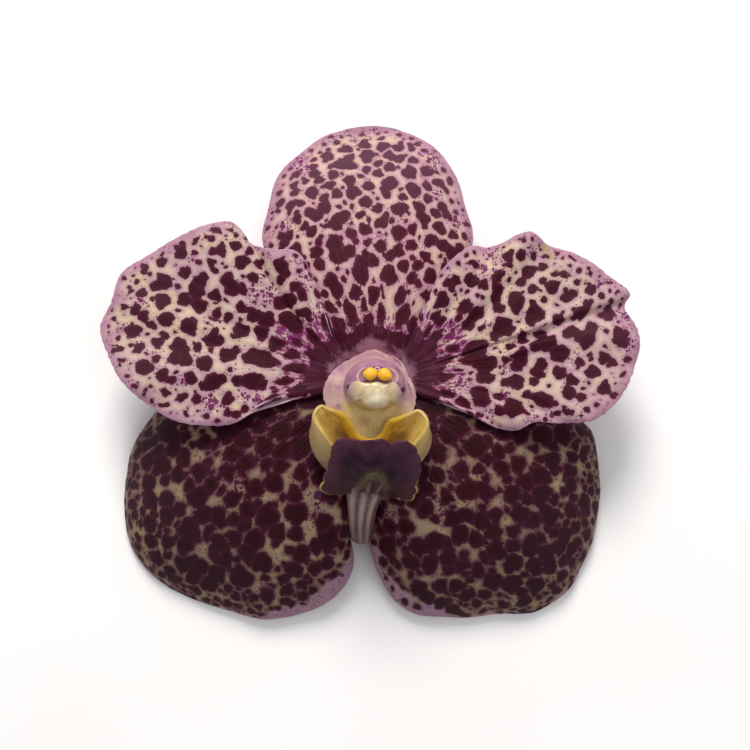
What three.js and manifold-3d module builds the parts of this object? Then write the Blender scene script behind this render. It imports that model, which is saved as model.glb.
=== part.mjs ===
// A picked vanda bloom lying face up. It rests on three low stretches of its sepal margins.
// Millimetres, +Z up, +Y from the lip towards the dorsal sepal. The origin is on the surface,
// under the middle of the bloom's bounding box.
import * as THREE from "three";
import Module from "manifold-3d";

const wasm = await Module();
wasm.setup();

// Driving dimensions
const FLOWER_CENTRE = { x: 0.6, y: -3.9 };
const BLADE_THICKNESS = 0.65;
const BLADE_COLUMNS = 36;
const BLADE_ROWS = 9;
const SEPAL_HEIGHT = 8.5;
const PETAL_HEIGHT = 9.6;
const RING_SIDES = 32;
const NORMAL_REACH = 2;
const VEIN_BOW = 0.06;
const FINE_STEPS = 12;
const TANGENT_SHARE = 0.02;

// Petals and sepals: the claw's two corners and its height, the height that the blade arches
// by, and how its edge falls (0 is straight, 1 is a quarter round, 2 is a gentle arc). The
// margin runs clockwise, seen from above, as points of x, y and height.
const TEPALS = {
  dorsal_sepal: {
    claw: [[-3.3, -1.6], [4.4, -1.6]],
    height: SEPAL_HEIGHT,
    arch: 2.6,
    edge: 2,
    margin: [
      [-5.0, 1.2, 8.0], [-9.0, 6.6, 6.4], [-12.7, 11.6, 4.9], [-14.1, 15.6, 4.2],
      [-13.4, 20.0, 3.5], [-12.3, 24.8, 2.6], [-9.4, 28.6, 1.6], [-5.4, 31.7, 0.5],
      [-0.5, 33.1, -0.4], [4.0, 32.5, 0.3], [8.4, 29.7, 1.4], [11.4, 25.0, 2.4],
      [12.8, 20.0, 3.4], [13.6, 16.0, 4.2], [12.3, 11.6, 5.0], [9.0, 6.4, 6.6],
      [5.9, 1.2, 8.0],
    ],
  },
  petal_left: {
    claw: [[-3.3, -5.1], [-3.0, -2.2]],
    height: PETAL_HEIGHT,
    arch: 0.8,
    edge: 0,
    margin: [
      [-5.0, -6.0, 10.2], [-8.0, -7.0, 10.6], [-12.0, -7.6, 11.2], [-15.8, -9.7, 11.6],
      [-19.8, -10.4, 11.3], [-23.6, -9.9, 11.2], [-27.0, -8.0, 11.7], [-30.2, -5.2, 12.0],
      [-32.2, -1.6, 11.5], [-33.4, 2.0, 11.3], [-32.0, 5.4, 11.9], [-31.0, 8.8, 11.5],
      [-27.2, 11.5, 12.0], [-23.0, 13.8, 12.3], [-18.2, 15.5, 12.7], [-16.0, 14.8, 12.2],
      [-14.8, 12.8, 11.5], [-12.2, 11.7, 12.3], [-8.8, 11.4, 12.0], [-6.4, 7.4, 11.5],
      [-5.0, 3.0, 10.9], [-3.7, -0.4, 10.2],
    ],
  },
  petal_right: {
    claw: [[3.9, -2.2], [4.4, -5.4]],
    height: PETAL_HEIGHT,
    arch: 0.8,
    edge: 0,
    margin: [
      [4.5, -0.2, 10.2], [5.6, 2.2, 10.8], [7.1, 5.4, 11.5], [9.0, 9.2, 12.0],
      [12.6, 12.2, 12.2], [15.0, 12.4, 11.7], [19.8, 14.0, 12.6], [22.4, 12.6, 11.6],
      [26.2, 11.1, 12.3], [29.6, 8.6, 11.8], [32.4, 6.2, 12.4], [31.8, 4.4, 11.5],
      [33.2, 1.0, 12.4], [33.0, -2.2, 12.0], [30.8, -6.9, 11.6], [27.2, -9.9, 12.0],
      [22.8, -10.2, 11.5], [20.2, -10.1, 11.8], [17.4, -11.1, 11.2], [13.2, -9.5, 11.3],
      [9.4, -7.6, 10.9], [6.2, -6.6, 10.3],
    ],
  },
  lateral_sepal_left: {
    claw: [[-0.6, -6.4], [-3.0, -4.6]],
    height: SEPAL_HEIGHT,
    arch: 2.4,
    edge: 1.1,
    margin: [
      [-0.5, -10.2, 7.2], [-1.7, -16.0, 5.6], [-2.5, -21.7, 4.2], [-2.1, -26.4, 2.8],
      [-3.9, -29.9, 1.6], [-8.0, -32.5, 0.7], [-13.0, -33.1, 0.4], [-18.2, -31.9, 0.3],
      [-23.6, -30.3, -0.4], [-27.9, -27.4, 0.3], [-30.5, -23.5, 0.5], [-31.3, -18.6, 0.9],
      [-30.8, -13.4, 1.4], [-28.8, -9.0, 2.2], [-25.6, -5.6, 3.2], [-20.0, -4.4, 4.6],
      [-12.0, -4.3, 6.4], [-5.6, -4.5, 8.0],
    ],
  },
  lateral_sepal_right: {
    claw: [[4.2, -4.9], [1.5, -6.6]],
    height: SEPAL_HEIGHT,
    arch: 2.4,
    edge: 1.1,
    margin: [
      [6.8, -4.9, 7.9], [14.0, -4.7, 6.4], [22.4, -5.6, 4.4], [27.6, -8.8, 2.8],
      [29.1, -12.4, 2.0], [29.5, -17.0, 1.4], [28.5, -22.4, 0.8], [26.7, -26.8, 0.5],
      [24.8, -30.0, 0.3], [20.8, -32.4, -0.4], [15.4, -32.6, 0.3], [10.0, -33.0, 0.4],
      [6.3, -32.8, 0.7], [3.2, -30.8, 1.4], [1.2, -27.6, 2.4], [-0.2, -24.0, 3.6],
      [-1.3, -21.6, 4.3], [-1.4, -18.0, 5.2], [-0.9, -13.6, 6.4], [0.1, -10.0, 7.3],
    ],
  },
};

// The lip's midlobe is a blade in a plane of its own, which leans back over the cup. Its points
// are x, the distance up the slope and the height off that plane.
const MIDLOBE = {
  foot: { x: 0, y: -18.7, z: 12.0 },
  slopeDegrees: 54,
  thickness: 0.8,
  claw: [[-2.2, 0.2], [1.7, 0.2]],
  height: 0,
  arch: 0.4,
  margin: [
    [-3.2, -0.1, 0.0], [-4.7, -0.3, 0.2], [-5.8, 0.7, 0.2], [-5.5, 2.2, 0.0],
    [-4.8, 4.2, -0.2], [-4.5, 6.3, 0.0], [-4.1, 8.3, 0.2], [-3.2, 9.0, 0.3],
    [-2.0, 8.6, -0.2], [-0.8, 8.3, 0.1], [0.5, 8.8, 0.3], [1.6, 8.6, -0.1],
    [2.6, 8.2, 0.1], [3.6, 8.6, 0.3], [4.8, 8.0, 0.0], [5.7, 6.4, -0.2],
    [6.2, 4.2, 0.0], [5.8, 2.0, 0.2], [5.6, -0.2, 0.3], [4.3, -1.4, 0.4],
    [2.9, -0.3, 0.2],
  ],
};

// The lip's cup, from its floor by its belly to its rim, which rises to a tip on each side.
const CUP = {
  wall: 0.6,
  floor: { x: 0.2, y: -14.2, z: 9.0 },
  bowl: { share: 0.72, drop: 1.5, insideShare: 0.9 },
  belly: [
    [0.2, -12.5, 11.0], [2.6, -10.8, 11.2], [5.4, -10.1, 11.8], [7.4, -11.9, 12.6],
    [6.9, -14.2, 12.2], [4.4, -16.6, 11.5], [0.1, -17.4, 11.2], [-4.0, -16.8, 11.5],
    [-6.5, -14.4, 12.2], [-7.1, -11.8, 12.6], [-5.2, -9.8, 11.8], [-2.2, -10.8, 11.2],
  ],
  rim: [
    [0.2, -12.4, 12.5], [2.4, -10.4, 13.0], [5.9, -9.3, 15.9], [7.1, -10.9, 16.5],
    [6.4, -12.8, 16.0], [4.2, -14.8, 14.2], [0.1, -15.8, 12.8], [-3.7, -14.7, 14.2],
    [-5.6, -12.4, 16.0], [-6.5, -10.2, 16.5], [-5.6, -8.7, 15.9], [-2.1, -10.2, 13.0],
  ],
};

// The spur hangs from the midlobe's foot. Its stations are x, y, height, half width and half depth.
const SPUR = {
  stations: [
    [-0.2, -16.9, 12.3, 1.9, 0.9],
    [-0.45, -18.0, 11.3, 2.3, 1.3],
    [-0.6, -19.5, 9.7, 1.75, 1.35],
    [-0.8, -20.7, 8.2, 1.4, 1.15],
    [-0.7, -21.6, 6.8, 1.05, 0.85],
  ],
  tip: { x: -0.6, y: -22.1, z: 5.9 },
  rings: 8,
  sides: 14,
};

// The ribbed pedicel. Its stations are the run from the flower's centre, height and radius.
const PEDICEL = {
  headingDegrees: 232,
  stations: [
    [0, 8.75, 1.85], [0.1, 7.2, 1.75], [1.4, 5.3, 1.6], [4.6, 3.9, 1.6], [8.6, 3.0, 1.65],
    [13.6, 2.1, 1.55],
  ],
  ribs: 6,
  ribHeight: 0.09,
  rings: 14,
  sides: 24,
};

// The column's rings from the top of its head to its base
const COLUMN_HEAD = { x: 0.65, y: -5.6, z: 15.7 };
const COLUMN_HEAD_RINGS = [
  { radiusX: 1.9, radiusY: 1.6, drop: 0.1 },
  { radiusX: 3.0, radiusY: 2.45, drop: 0.6 },
  { radiusX: 3.3, radiusY: 2.75, drop: 1.5 },
  { radiusX: 3.1, radiusY: 2.65, drop: 2.3 },
];
const COLUMN_WING = [
  [0.7, -1.3, 10.9], [2.7, -1.9, 12.2], [4.4, -3.4, 13.2], [5.4, -5.6, 13.7],
  [5.8, -7.7, 13.7], [4.6, -9.0, 13.1], [2.6, -9.5, 12.5], [1.6, -10.8, 12.2],
  [0.2, -11.9, 12.0], [-1.3, -10.7, 12.2], [-2.3, -9.4, 12.5], [-4.3, -8.4, 13.1],
  [-5.6, -6.8, 13.7], [-5.2, -4.9, 13.6], [-4.0, -2.9, 13.1], [-1.7, -1.7, 12.1],
];
const COLUMN_WING_THICKNESS = 0.8;
const COLUMN_WING_BEVEL = 0.3;
const COLUMN_HOLLOW_DEPTH = 0.35;
const COLUMN_WAIST = { radiusX: 3.2, radiusY: 2.6, z: 11.1 };
const COLUMN_BASE = { radiusX: 3.2, radiusY: 2.4, z: 9.05 };

const ANTHER_CAP = {
  centre: { x: 0.75, y: -7.7, z: 15.75 },
  height: 1.4,
  levels: [
    { share: 0.9, rise: 0 },
    { share: 1, rise: 0.25 },
    { share: 0.9, rise: 0.6 },
    { share: 0.62, rise: 0.88 },
  ],
  outline: [
    [0.9, -6.1], [2.6, -6.1], [3.7, -7.0], [3.5, -8.3], [2.6, -8.6], [1.9, -9.3],
    [0.8, -9.6], [-0.4, -9.3], [-1.1, -8.6], [-2.1, -8.3], [-2.2, -7.0], [-0.9, -6.1],
  ],
};
const POLLEN = {
  centres: [[0.15, -5.25], [1.85, -5.35]],
  height: 16.75,
  radius: { x: 0.82, y: 0.7, z: 0.62 },
  around: 14,
  over: 10,
  stipe: { radius: 0.3, height: 16.6, rings: 3, sides: 8 },
};

const SURFACES = {
  sepal: { color: 0x6b2b4c, roughness: 0.5 },
  petal: { color: 0xb783a3, roughness: 0.5 },
  lip: { color: 0xc9a94a, roughness: 0.5 },
  column: { color: 0xe3c6d3, roughness: 0.4 },
  cap: { color: 0xf3ecd2, roughness: 0.25 },
  pollen: { color: 0xf0a41c, roughness: 0.4 },
  pedicel: { color: 0xcbbfa4, roughness: 0.5 },
};

const radians = (degrees) => (degrees * Math.PI) / 180;
const mix = (from, to, share) => from.map((value, axis) => value + (to[axis] - value) * share);

// A smooth curve through the stations, at a share from 0 to 1 of its spans
function smoothThrough(stations, closed, share) {
  const spans = closed ? stations.length : stations.length - 1;
  const span = Math.min(Math.floor(share * spans), spans - 1);
  const along = share * spans - span;
  const station = (index) =>
    closed
      ? stations[(index + stations.length) % stations.length]
      : stations[Math.max(0, Math.min(index, stations.length - 1))];
  const [before, start, end, after] = [-1, 0, 1, 2].map((offset) => station(span + offset));
  return start.map((value, axis) => {
    const slopeIn = (end[axis] - before[axis]) / 2;
    const slopeOut = (after[axis] - value) / 2;
    const bend = 3 * (end[axis] - value) - 2 * slopeIn - slopeOut;
    const twist = 2 * (value - end[axis]) + slopeIn + slopeOut;
    return value + along * (slopeIn + along * (bend + along * twist));
  });
}

// Points along the curve through the stations, at even distances
function evenlyAlong(stations, count) {
  const fineCount = stations.length * FINE_STEPS;
  const fine = Array.from({ length: fineCount + 1 }, (_, index) =>
    smoothThrough(stations, false, index / fineCount),
  );
  const travelled = [0];
  for (let index = 1; index <= fineCount; index += 1) {
    const [dx, dy, dz] = [0, 1, 2].map((axis) => fine[index][axis] - fine[index - 1][axis]);
    travelled.push(travelled[index - 1] + Math.hypot(dx, dy, dz));
  }
  return Array.from({ length: count + 1 }, (_, index) => {
    const target = (travelled[fineCount] * index) / count;
    const passed = travelled.findIndex((distance) => distance >= target);
    const next = passed < 0 ? fineCount : Math.max(1, passed);
    const step = travelled[next] - travelled[next - 1];
    return mix(fine[next - 1], fine[next], (target - travelled[next - 1]) / step);
  });
}

// A closed mesh's geometry, with its faces turned outwards
function closedGeometry(points, triangles) {
  let sixVolumes = 0;
  for (const [a, b, c] of triangles) {
    const cross = new THREE.Vector3().crossVectors(points[b], points[c]);
    sixVolumes += points[a].dot(cross);
  }
  const turned = sixVolumes < 0 ? triangles.map(([a, b, c]) => [a, c, b]) : triangles;
  const geometry = new THREE.BufferGeometry();
  geometry.setFromPoints(points);
  geometry.setIndex(turned.flat());
  return geometry;
}

// A sheet of even thickness under a grid of points, split into triangles alike on both faces
function sheetGeometry(grid, thickness, lowest) {
  const columns = grid.length;
  const rows = grid[0].length;
  const clamp = (index, count) => Math.max(0, Math.min(index, count - 1));
  const at = (column, row) => grid[clamp(column, columns)][clamp(row, rows)];
  const spread = (column, row) => {
    const across = at(column + 1, row).clone().sub(at(column - 1, row));
    const outward = at(column, row + 1).clone().sub(at(column, row - 1));
    return across.cross(outward);
  };
  // The narrow cells at a blade's sides count for little next to their neighbours
  const normalAt = (column, row) => {
    const sum = new THREE.Vector3();
    for (let near = -NORMAL_REACH; near <= NORMAL_REACH; near += 1) {
      const side = clamp(column + near, columns);
      for (const step of [-1, 0, 1]) sum.add(spread(side, clamp(row + step, rows)));
    }
    return sum.normalize();
  };
  const front = [];
  const back = [];
  for (let column = 0; column < columns; column += 1) {
    for (let row = 0; row < rows; row += 1) {
      const normal = normalAt(column, row);
      const top = at(column, row).clone();
      const under = top.clone().addScaledVector(normal, -thickness);
      top.z = Math.max(top.z, lowest);
      under.z = Math.max(under.z, lowest);
      front.push(top);
      back.push(under);
    }
  }
  const under = front.length;
  const index = (column, row) => column * rows + row;
  const triangles = [];
  const addQuad = (a, b, c, d) => triangles.push([a, b, c], [a, c, d]);
  for (let column = 0; column < columns - 1; column += 1) {
    for (let row = 0; row < rows - 1; row += 1) {
      const [a, b] = [index(column, row), index(column, row + 1)];
      const [c, d] = [index(column + 1, row + 1), index(column + 1, row)];
      addQuad(a, b, c, d);
      triangles.push([under + a, under + c, under + b], [under + a, under + d, under + c]);
    }
  }
  const edge = [];
  for (let row = 0; row < rows; row += 1) edge.push(index(0, row));
  for (let column = 1; column < columns; column += 1) edge.push(index(column, rows - 1));
  for (let row = rows - 2; row >= 0; row -= 1) edge.push(index(columns - 1, row));
  for (let column = columns - 2; column > 0; column -= 1) edge.push(index(column, 0));
  edge.forEach((from, step) => {
    const to = edge[(step + 1) % edge.length];
    addQuad(from, under + from, under + to, to);
  });
  return closedGeometry([...front, ...back], triangles);
}

// Veins from the claw to the margin, as columns of points. Like real veins they keep towards the
// middle of the blade at first and bow out to the margin, so they also reach into its notches.
function bladeGrid({ claw, height, arch, edge, margin }) {
  const rim = evenlyAlong(margin, BLADE_COLUMNS);
  const starts = rim.map((_, column) => mix(claw[0], claw[1], column / BLADE_COLUMNS));
  const reach = rim.map((end, column) =>
    Math.hypot(end[0] - starts[column][0], end[1] - starts[column][1]),
  );
  const longest = Math.max(...reach);
  return rim.map((end, column) =>
    Array.from({ length: BLADE_ROWS + 1 }, (_, row) => {
      const turn = (row / BLADE_ROWS) * (Math.PI / 2);
      const out = edge ? Math.sin(turn) : row / BLADE_ROWS;
      const fallen = edge ? 1 - Math.cos(turn) ** edge : out;
      const [x, y] = mix(starts[column], end, out);
      const middle = 4 * out * (1 - out);
      const bow = VEIN_BOW * Math.sin((2 * Math.PI * column) / BLADE_COLUMNS) * middle;
      const bowX = bow * (end[1] - starts[column][1]);
      const bowY = bow * (starts[column][0] - end[0]);
      const straight = height + (end[2] - height) * fallen;
      const arched = (arch * middle * reach[column]) / longest;
      return new THREE.Vector3(x + bowX, y + bowY, straight + arched);
    }),
  );
}

// A closed body through rings of points, from one end point to the other
function ringGeometry(startPoint, rings, endPoint) {
  const sides = rings[0].length;
  const points = [startPoint, ...rings.flat(), endPoint];
  const last = points.length - 1;
  const index = (ring, side) => 1 + ring * sides + (side % sides);
  const triangles = [];
  for (let side = 0; side < sides; side += 1) {
    triangles.push([0, index(0, side), index(0, side + 1)]);
    triangles.push([last, index(rings.length - 1, side + 1), index(rings.length - 1, side)]);
    for (let ring = 0; ring < rings.length - 1; ring += 1) {
      const [a, b] = [index(ring, side), index(ring, side + 1)];
      const [c, d] = [index(ring + 1, side + 1), index(ring + 1, side)];
      triangles.push([a, d, c], [a, c, b]);
    }
  }
  return closedGeometry(points, triangles);
}

function ringThrough(stations, sides) {
  return Array.from({ length: sides }, (_, side) => {
    const [x, y, z] = smoothThrough(stations, true, side / sides);
    return new THREE.Vector3(x, y, z);
  });
}

const flatPoint = ({ x, y }, z) => new THREE.Vector3(x, y, z);

// A ring that faces the same way from its centre as each point of the guide ring does
function ellipseLike(guide, guideCentre, centre, radiusX, radiusY, z) {
  return guide.map((point) => {
    const angle = Math.atan2(point.y - guideCentre.y, point.x - guideCentre.x);
    const x = centre.x + radiusX * Math.cos(angle);
    const y = centre.y + radiusY * Math.sin(angle);
    return new THREE.Vector3(x, y, z);
  });
}

function ellipsoidGeometry(x, y, z, { radius, around, over }) {
  const geometry = new THREE.SphereGeometry(1, around, over);
  geometry.scale(radius.x, radius.y, radius.z);
  geometry.translate(x, y, z);
  return geometry;
}

// Rings square to a centre line that bends in one upright plane. Each station is x, y, height,
// half width along the side vector and half depth, and ribs swell the outline.
function tubeRings(stations, side, { rings, sides, ribs = 0, ribHeight = 0 }) {
  const at = (share) => smoothThrough(stations, false, Math.max(0, Math.min(share, 1)));
  return Array.from({ length: rings }, (_, ring) => {
    const share = ring / (rings - 1);
    const [x, y, z, halfWidth, halfDepth] = at(share);
    const [ahead, behind] = [at(share + TANGENT_SHARE), at(share - TANGENT_SHARE)];
    const tangent = new THREE.Vector3(
      ahead[0] - behind[0],
      ahead[1] - behind[1],
      ahead[2] - behind[2],
    ).normalize();
    const depth = new THREE.Vector3().crossVectors(tangent, side).normalize();
    return Array.from({ length: sides }, (_, step) => {
      const angle = (2 * Math.PI * step) / sides;
      const swell = 1 + ribHeight * Math.cos(ribs * angle);
      return new THREE.Vector3(x, y, z)
        .addScaledVector(side, halfWidth * swell * Math.cos(angle))
        .addScaledVector(depth, halfDepth * swell * Math.sin(angle));
    });
  });
}

const ringCentre = (ring) =>
  ring.reduce((sum, point) => sum.add(point), new THREE.Vector3()).divideScalar(ring.length);

// A geometry becomes a solid, to be joined to others, once points that lie together are merged
function solidOf(geometry) {
  const positions = geometry.getAttribute("position");
  const order = geometry.index ? Array.from(geometry.index.array) : [...positions.array.keys()];
  const seen = new Map();
  const vertices = [];
  const merged = order.map((index) => {
    const place = [positions.getX(index), positions.getY(index), positions.getZ(index)];
    const key = place.map((value) => value.toFixed(4)).join(" ");
    if (!seen.has(key)) {
      seen.set(key, vertices.length / 3);
      vertices.push(...place);
    }
    return seen.get(key);
  });
  const triangles = [];
  for (let index = 0; index < merged.length; index += 3) {
    const [a, b, c] = merged.slice(index, index + 3);
    if (a !== b && b !== c && a !== c) triangles.push(a, b, c);
  }
  const mesh = new wasm.Mesh({
    numProp: 3,
    vertProperties: new Float32Array(vertices),
    triVerts: new Uint32Array(triangles),
  });
  return new wasm.Manifold(mesh);
}

function joined(geometries) {
  const whole = geometries.map(solidOf).reduce((sum, solid) => sum.add(solid));
  const { vertProperties, triVerts } = whole.getMesh();
  const geometry = new THREE.BufferGeometry();
  geometry.setAttribute("position", new THREE.Float32BufferAttribute(vertProperties, 3));
  geometry.setIndex(Array.from(triVerts));
  return geometry;
}

function midlobeGeometry() {
  const grid = bladeGrid({ ...MIDLOBE, edge: 0 });
  const geometry = sheetGeometry(grid, MIDLOBE.thickness, -Infinity);
  geometry.rotateX(radians(MIDLOBE.slopeDegrees));
  geometry.translate(MIDLOBE.foot.x, MIDLOBE.foot.y, MIDLOBE.foot.z);
  return geometry;
}

function cupGeometry() {
  const rim = ringThrough(CUP.rim, RING_SIDES);
  const belly = ringThrough(CUP.belly, RING_SIDES);
  const shrink = (ring, share, drop) =>
    ring.map((point) => {
      const x = CUP.floor.x + (point.x - CUP.floor.x) * share;
      const y = CUP.floor.y + (point.y - CUP.floor.y) * share;
      return new THREE.Vector3(x, y, point.z - drop);
    });
  // Moves a ring in by the wall's thickness, towards the middle of the cup
  const inside = (ring) =>
    ring.map((point) => {
      const toCentre = new THREE.Vector3(CUP.floor.x - point.x, CUP.floor.y - point.y, 0);
      return point.clone().addScaledVector(toCentre.normalize(), CUP.wall);
    });
  const halfway = (from, to) =>
    from.map((point, side) => point.clone().lerp(to[side], 0.5));
  const low = shrink(belly, CUP.bowl.share, CUP.bowl.drop);
  const outer = [low, belly, halfway(belly, rim), rim];
  const lowInside = shrink(low, CUP.bowl.insideShare, -CUP.wall);
  const inner = [inside(rim), inside(halfway(rim, belly)), inside(belly), lowInside];
  const floor = flatPoint(CUP.floor, CUP.floor.z);
  const floorInside = flatPoint(CUP.floor, CUP.floor.z + CUP.wall);
  return ringGeometry(floor, [...outer, ...inner], floorInside);
}

function spurGeometry() {
  const rings = tubeRings(SPUR.stations, new THREE.Vector3(1, 0, 0), SPUR);
  return ringGeometry(ringCentre(rings[0]), rings, flatPoint(SPUR.tip, SPUR.tip.z));
}

function columnGeometry() {
  const wing = ringThrough(COLUMN_WING, RING_SIDES);
  const headCentre = { x: COLUMN_HEAD.x, y: COLUMN_HEAD.y };
  const head = COLUMN_HEAD_RINGS.map(({ radiusX, radiusY, drop }) =>
    ellipseLike(wing, headCentre, headCentre, radiusX, radiusY, COLUMN_HEAD.z - drop),
  );
  const neck = head[head.length - 1];
  const hollow = neck.map((point, side) => {
    const between = point.clone().lerp(wing[side], 0.5);
    return between.setZ(between.z - COLUMN_HOLLOW_DEPTH);
  });
  const under = wing.map((point) => {
    const inward = new THREE.Vector3(headCentre.x - point.x, headCentre.y - point.y, 0);
    const moved = point.clone().addScaledVector(inward.normalize(), COLUMN_WING_BEVEL);
    return moved.setZ(point.z - COLUMN_WING_THICKNESS);
  });
  const stem = [COLUMN_WAIST, COLUMN_BASE].map(({ radiusX, radiusY, z }) =>
    ellipseLike(wing, headCentre, FLOWER_CENTRE, radiusX, radiusY, z),
  );
  const top = flatPoint(headCentre, COLUMN_HEAD.z);
  const bottom = flatPoint(FLOWER_CENTRE, COLUMN_BASE.z);
  return ringGeometry(top, [...head, hollow, wing, under, ...stem], bottom);
}

function antherCapGeometry() {
  const { centre, height, levels, outline } = ANTHER_CAP;
  const base = ringThrough(
    outline.map(([x, y]) => [x, y, centre.z]),
    RING_SIDES,
  );
  const rings = levels.map(({ share, rise }) =>
    base.map((point) => {
      const x = centre.x + (point.x - centre.x) * share;
      const y = centre.y + (point.y - centre.y) * share;
      return new THREE.Vector3(x, y, centre.z + rise * height);
    }),
  );
  const bottom = flatPoint(centre, centre.z);
  const top = flatPoint(centre, centre.z + height);
  return ringGeometry(bottom, rings, top);
}

function pollinariumGeometry() {
  const { centres, height, stipe } = POLLEN;
  const masses = centres.map(([x, y]) => ellipsoidGeometry(x, y, height, POLLEN));
  const line = centres.map(([x, y]) => [x, y, stipe.height, stipe.radius, stipe.radius]);
  const rings = tubeRings(line, new THREE.Vector3(0, 1, 0), stipe);
  const bridge = ringGeometry(ringCentre(rings[0]), rings, ringCentre(rings.at(-1)));
  return joined([...masses, bridge]);
}

function pedicelGeometry() {
  const heading = radians(PEDICEL.headingDegrees);
  const stations = PEDICEL.stations.map(([run, z, radius]) => [
    FLOWER_CENTRE.x + run * Math.cos(heading),
    FLOWER_CENTRE.y + run * Math.sin(heading),
    z,
    radius,
    radius,
  ]);
  const side = new THREE.Vector3(-Math.sin(heading), Math.cos(heading), 0);
  const rings = tubeRings(stations, side, PEDICEL);
  return ringGeometry(ringCentre(rings[0]), rings, ringCentre(rings.at(-1)));
}

function piece(name, geometry, surface) {
  const material = new THREE.MeshStandardMaterial({ metalness: 0, ...surface });
  const mesh = new THREE.Mesh(geometry, material);
  mesh.name = name;
  return mesh;
}

const bloom = new THREE.Group();
for (const [name, tepal] of Object.entries(TEPALS)) {
  const surface = name.startsWith("petal") ? SURFACES.petal : SURFACES.sepal;
  bloom.add(piece(name, sheetGeometry(bladeGrid(tepal), BLADE_THICKNESS, 0), surface));
}
const lip = joined([cupGeometry(), spurGeometry(), midlobeGeometry()]);
bloom.add(piece("lip", lip, SURFACES.lip));
bloom.add(piece("column", columnGeometry(), SURFACES.column));
bloom.add(piece("anther_cap", antherCapGeometry(), SURFACES.cap));
bloom.add(piece("pollinarium", pollinariumGeometry(), SURFACES.pollen));
bloom.add(piece("pedicel", pedicelGeometry(), SURFACES.pedicel));

export default bloom;
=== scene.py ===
import functools
import math

import bpy
import numpy as np
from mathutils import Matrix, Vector


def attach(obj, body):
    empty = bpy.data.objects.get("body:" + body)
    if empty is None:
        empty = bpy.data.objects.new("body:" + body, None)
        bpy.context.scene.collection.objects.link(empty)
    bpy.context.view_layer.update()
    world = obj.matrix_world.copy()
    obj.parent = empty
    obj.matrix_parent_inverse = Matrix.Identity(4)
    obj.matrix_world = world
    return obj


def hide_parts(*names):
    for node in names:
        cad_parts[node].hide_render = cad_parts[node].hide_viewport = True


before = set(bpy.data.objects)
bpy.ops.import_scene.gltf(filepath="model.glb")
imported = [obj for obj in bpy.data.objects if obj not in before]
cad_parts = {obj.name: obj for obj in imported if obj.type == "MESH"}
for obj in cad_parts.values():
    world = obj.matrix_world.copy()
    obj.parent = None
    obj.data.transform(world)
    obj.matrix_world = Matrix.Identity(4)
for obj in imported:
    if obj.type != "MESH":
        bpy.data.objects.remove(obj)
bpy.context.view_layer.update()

MM = 0.001
TAU = 2 * math.pi
UP = np.array([0.0, 0.0, 1.0])

# The camera: the photograph is 750 pixels square
PICTURE = 750
FOCAL_PIXELS = 1400
SENSOR = 36
TILT = math.radians(12.6)
CAMERA_DISTANCE = 183
CLIP_START = 0.01
LOOK_AT = np.array([0.7, -1.65, 0.0])

# Blades
BLADE_COLUMNS = 300
BLADE_ROWS = 110
BLADE_THICKNESS = 0.65
SEPAL_HEIGHT = 8.5
PETAL_HEIGHT = 9.6
MARGIN_SHARE = 0.45
THINNING_REACH = 4.0
EDGE_ROUNDING = 0.92
RESTING_HEIGHT = 0.03
MARGIN_CLUSTER = 1.35
ROLLED_CLUSTER = 1.2
VEIN_BOW = 0.06
NORMAL_COLUMNS = 8
NORMAL_ROWS = 2

# Relief of the tepals, with where each part of it fades in, going out from the claw
DENT_DEPTH = 0.10
DENT_SIZE = 4.0
DENTS_FROM = (1, 6)
WAVES_FROM = (2, 9)
# How waves and ripples wander along the margin: size, how many and, for the ripples, phase
WAVE_WANDER = (0.8, 2.3)
VEIN_WANDER = (2, 5, 0)
VEIN_COUNT = 36
VEIN_RIPPLES = 34
VEIN_RELIEF = 0.015
VEINS_FROM = (3, 9)
GROOVE_DEPTH = 0.15
GROOVE_SHARE = 0.05
GROOVE_FROM = (1, 5)
MARGIN_CURL = {"petal": 0.45, "sepal": 0.0}
CURL_REACH = 0.9
RAGGED_MARGIN = {"petal": 0.014, "sepal": 0.006}
RAGGED_REACH = 0.8
# Fine waves that make the margin ragged: the fewest and the most along it, and how many waves
RAGGED_CYCLES = (22, 95, 12)

# Spots: the scatter goes from large ones to small ones, by share of the radius and number of tries
SPOT_PASSES = ((1.0, 900), (0.70, 500), (0.42, 900))
SPOT_SIZES = (0.8, 1.2)
SPOT_LENGTHS = (0.9, 1.25)
# The bumps round a spot: how many, and their share of its radius
SPOT_LOBES = ((3, 0.08), (5, 0.05), (8, 0.03))
SPOT_FAR = 3.0
SPOT_MELT = 0.09
SPOT_WARP = 0.14
SPOT_WARP_SIZE = 1.2
CORNER_ROUNDING = 0.15
# Spots near the margin: their share of the radius, the added spacing, and where both fade
MARGIN_SPOT = 0.40
MARGIN_SPACING = 0.25
SPOT_GROWTH = (0.5, 6.0)
BLOTCH_TOUCH = 1.0
MERGE_NEAREST = 0.72
LARGEST_GROUP = 4
PALE_GROUP = -2
PALE_SHARE = 0.62
LILAC_REACH = 4.0
CLAW_STRETCH = 1.1
STRETCH_REACH = (13.0, 5.0)
LONG_SPOT_GROWTH = 0.25
STREAK_SHARE = 0.4
# Gaps between spots: where they change from the margin's to the middle's, their unevenness and its size
GAP_REACH = (3.0, 9.0)
GAP_UNEVEN = 0.5
GAP_UNEVEN_SIZE = 2.5
FRECKLE_FALLOFF = 0.6
FRECKLE_CORE = 0.5
SMEAR_FALLOFF = 0.5

# Curves and shaders
FINE_STEPS = 12
TANGENT_SHARE = 0.02
NOISE_WAVES = 24
NOISE_SPREAD = (0.6, 1.5)
MIX_SOCKETS = (0, 6, 7)
# The curve from a colour's digits to linear light: straight up to its foot, then a power
CURVE_FOOT = 0.04045
CURVE_FOOT_SLOPE = 12.92
CURVE_OFFSET = 0.055
CURVE_POWER = 2.4

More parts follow.
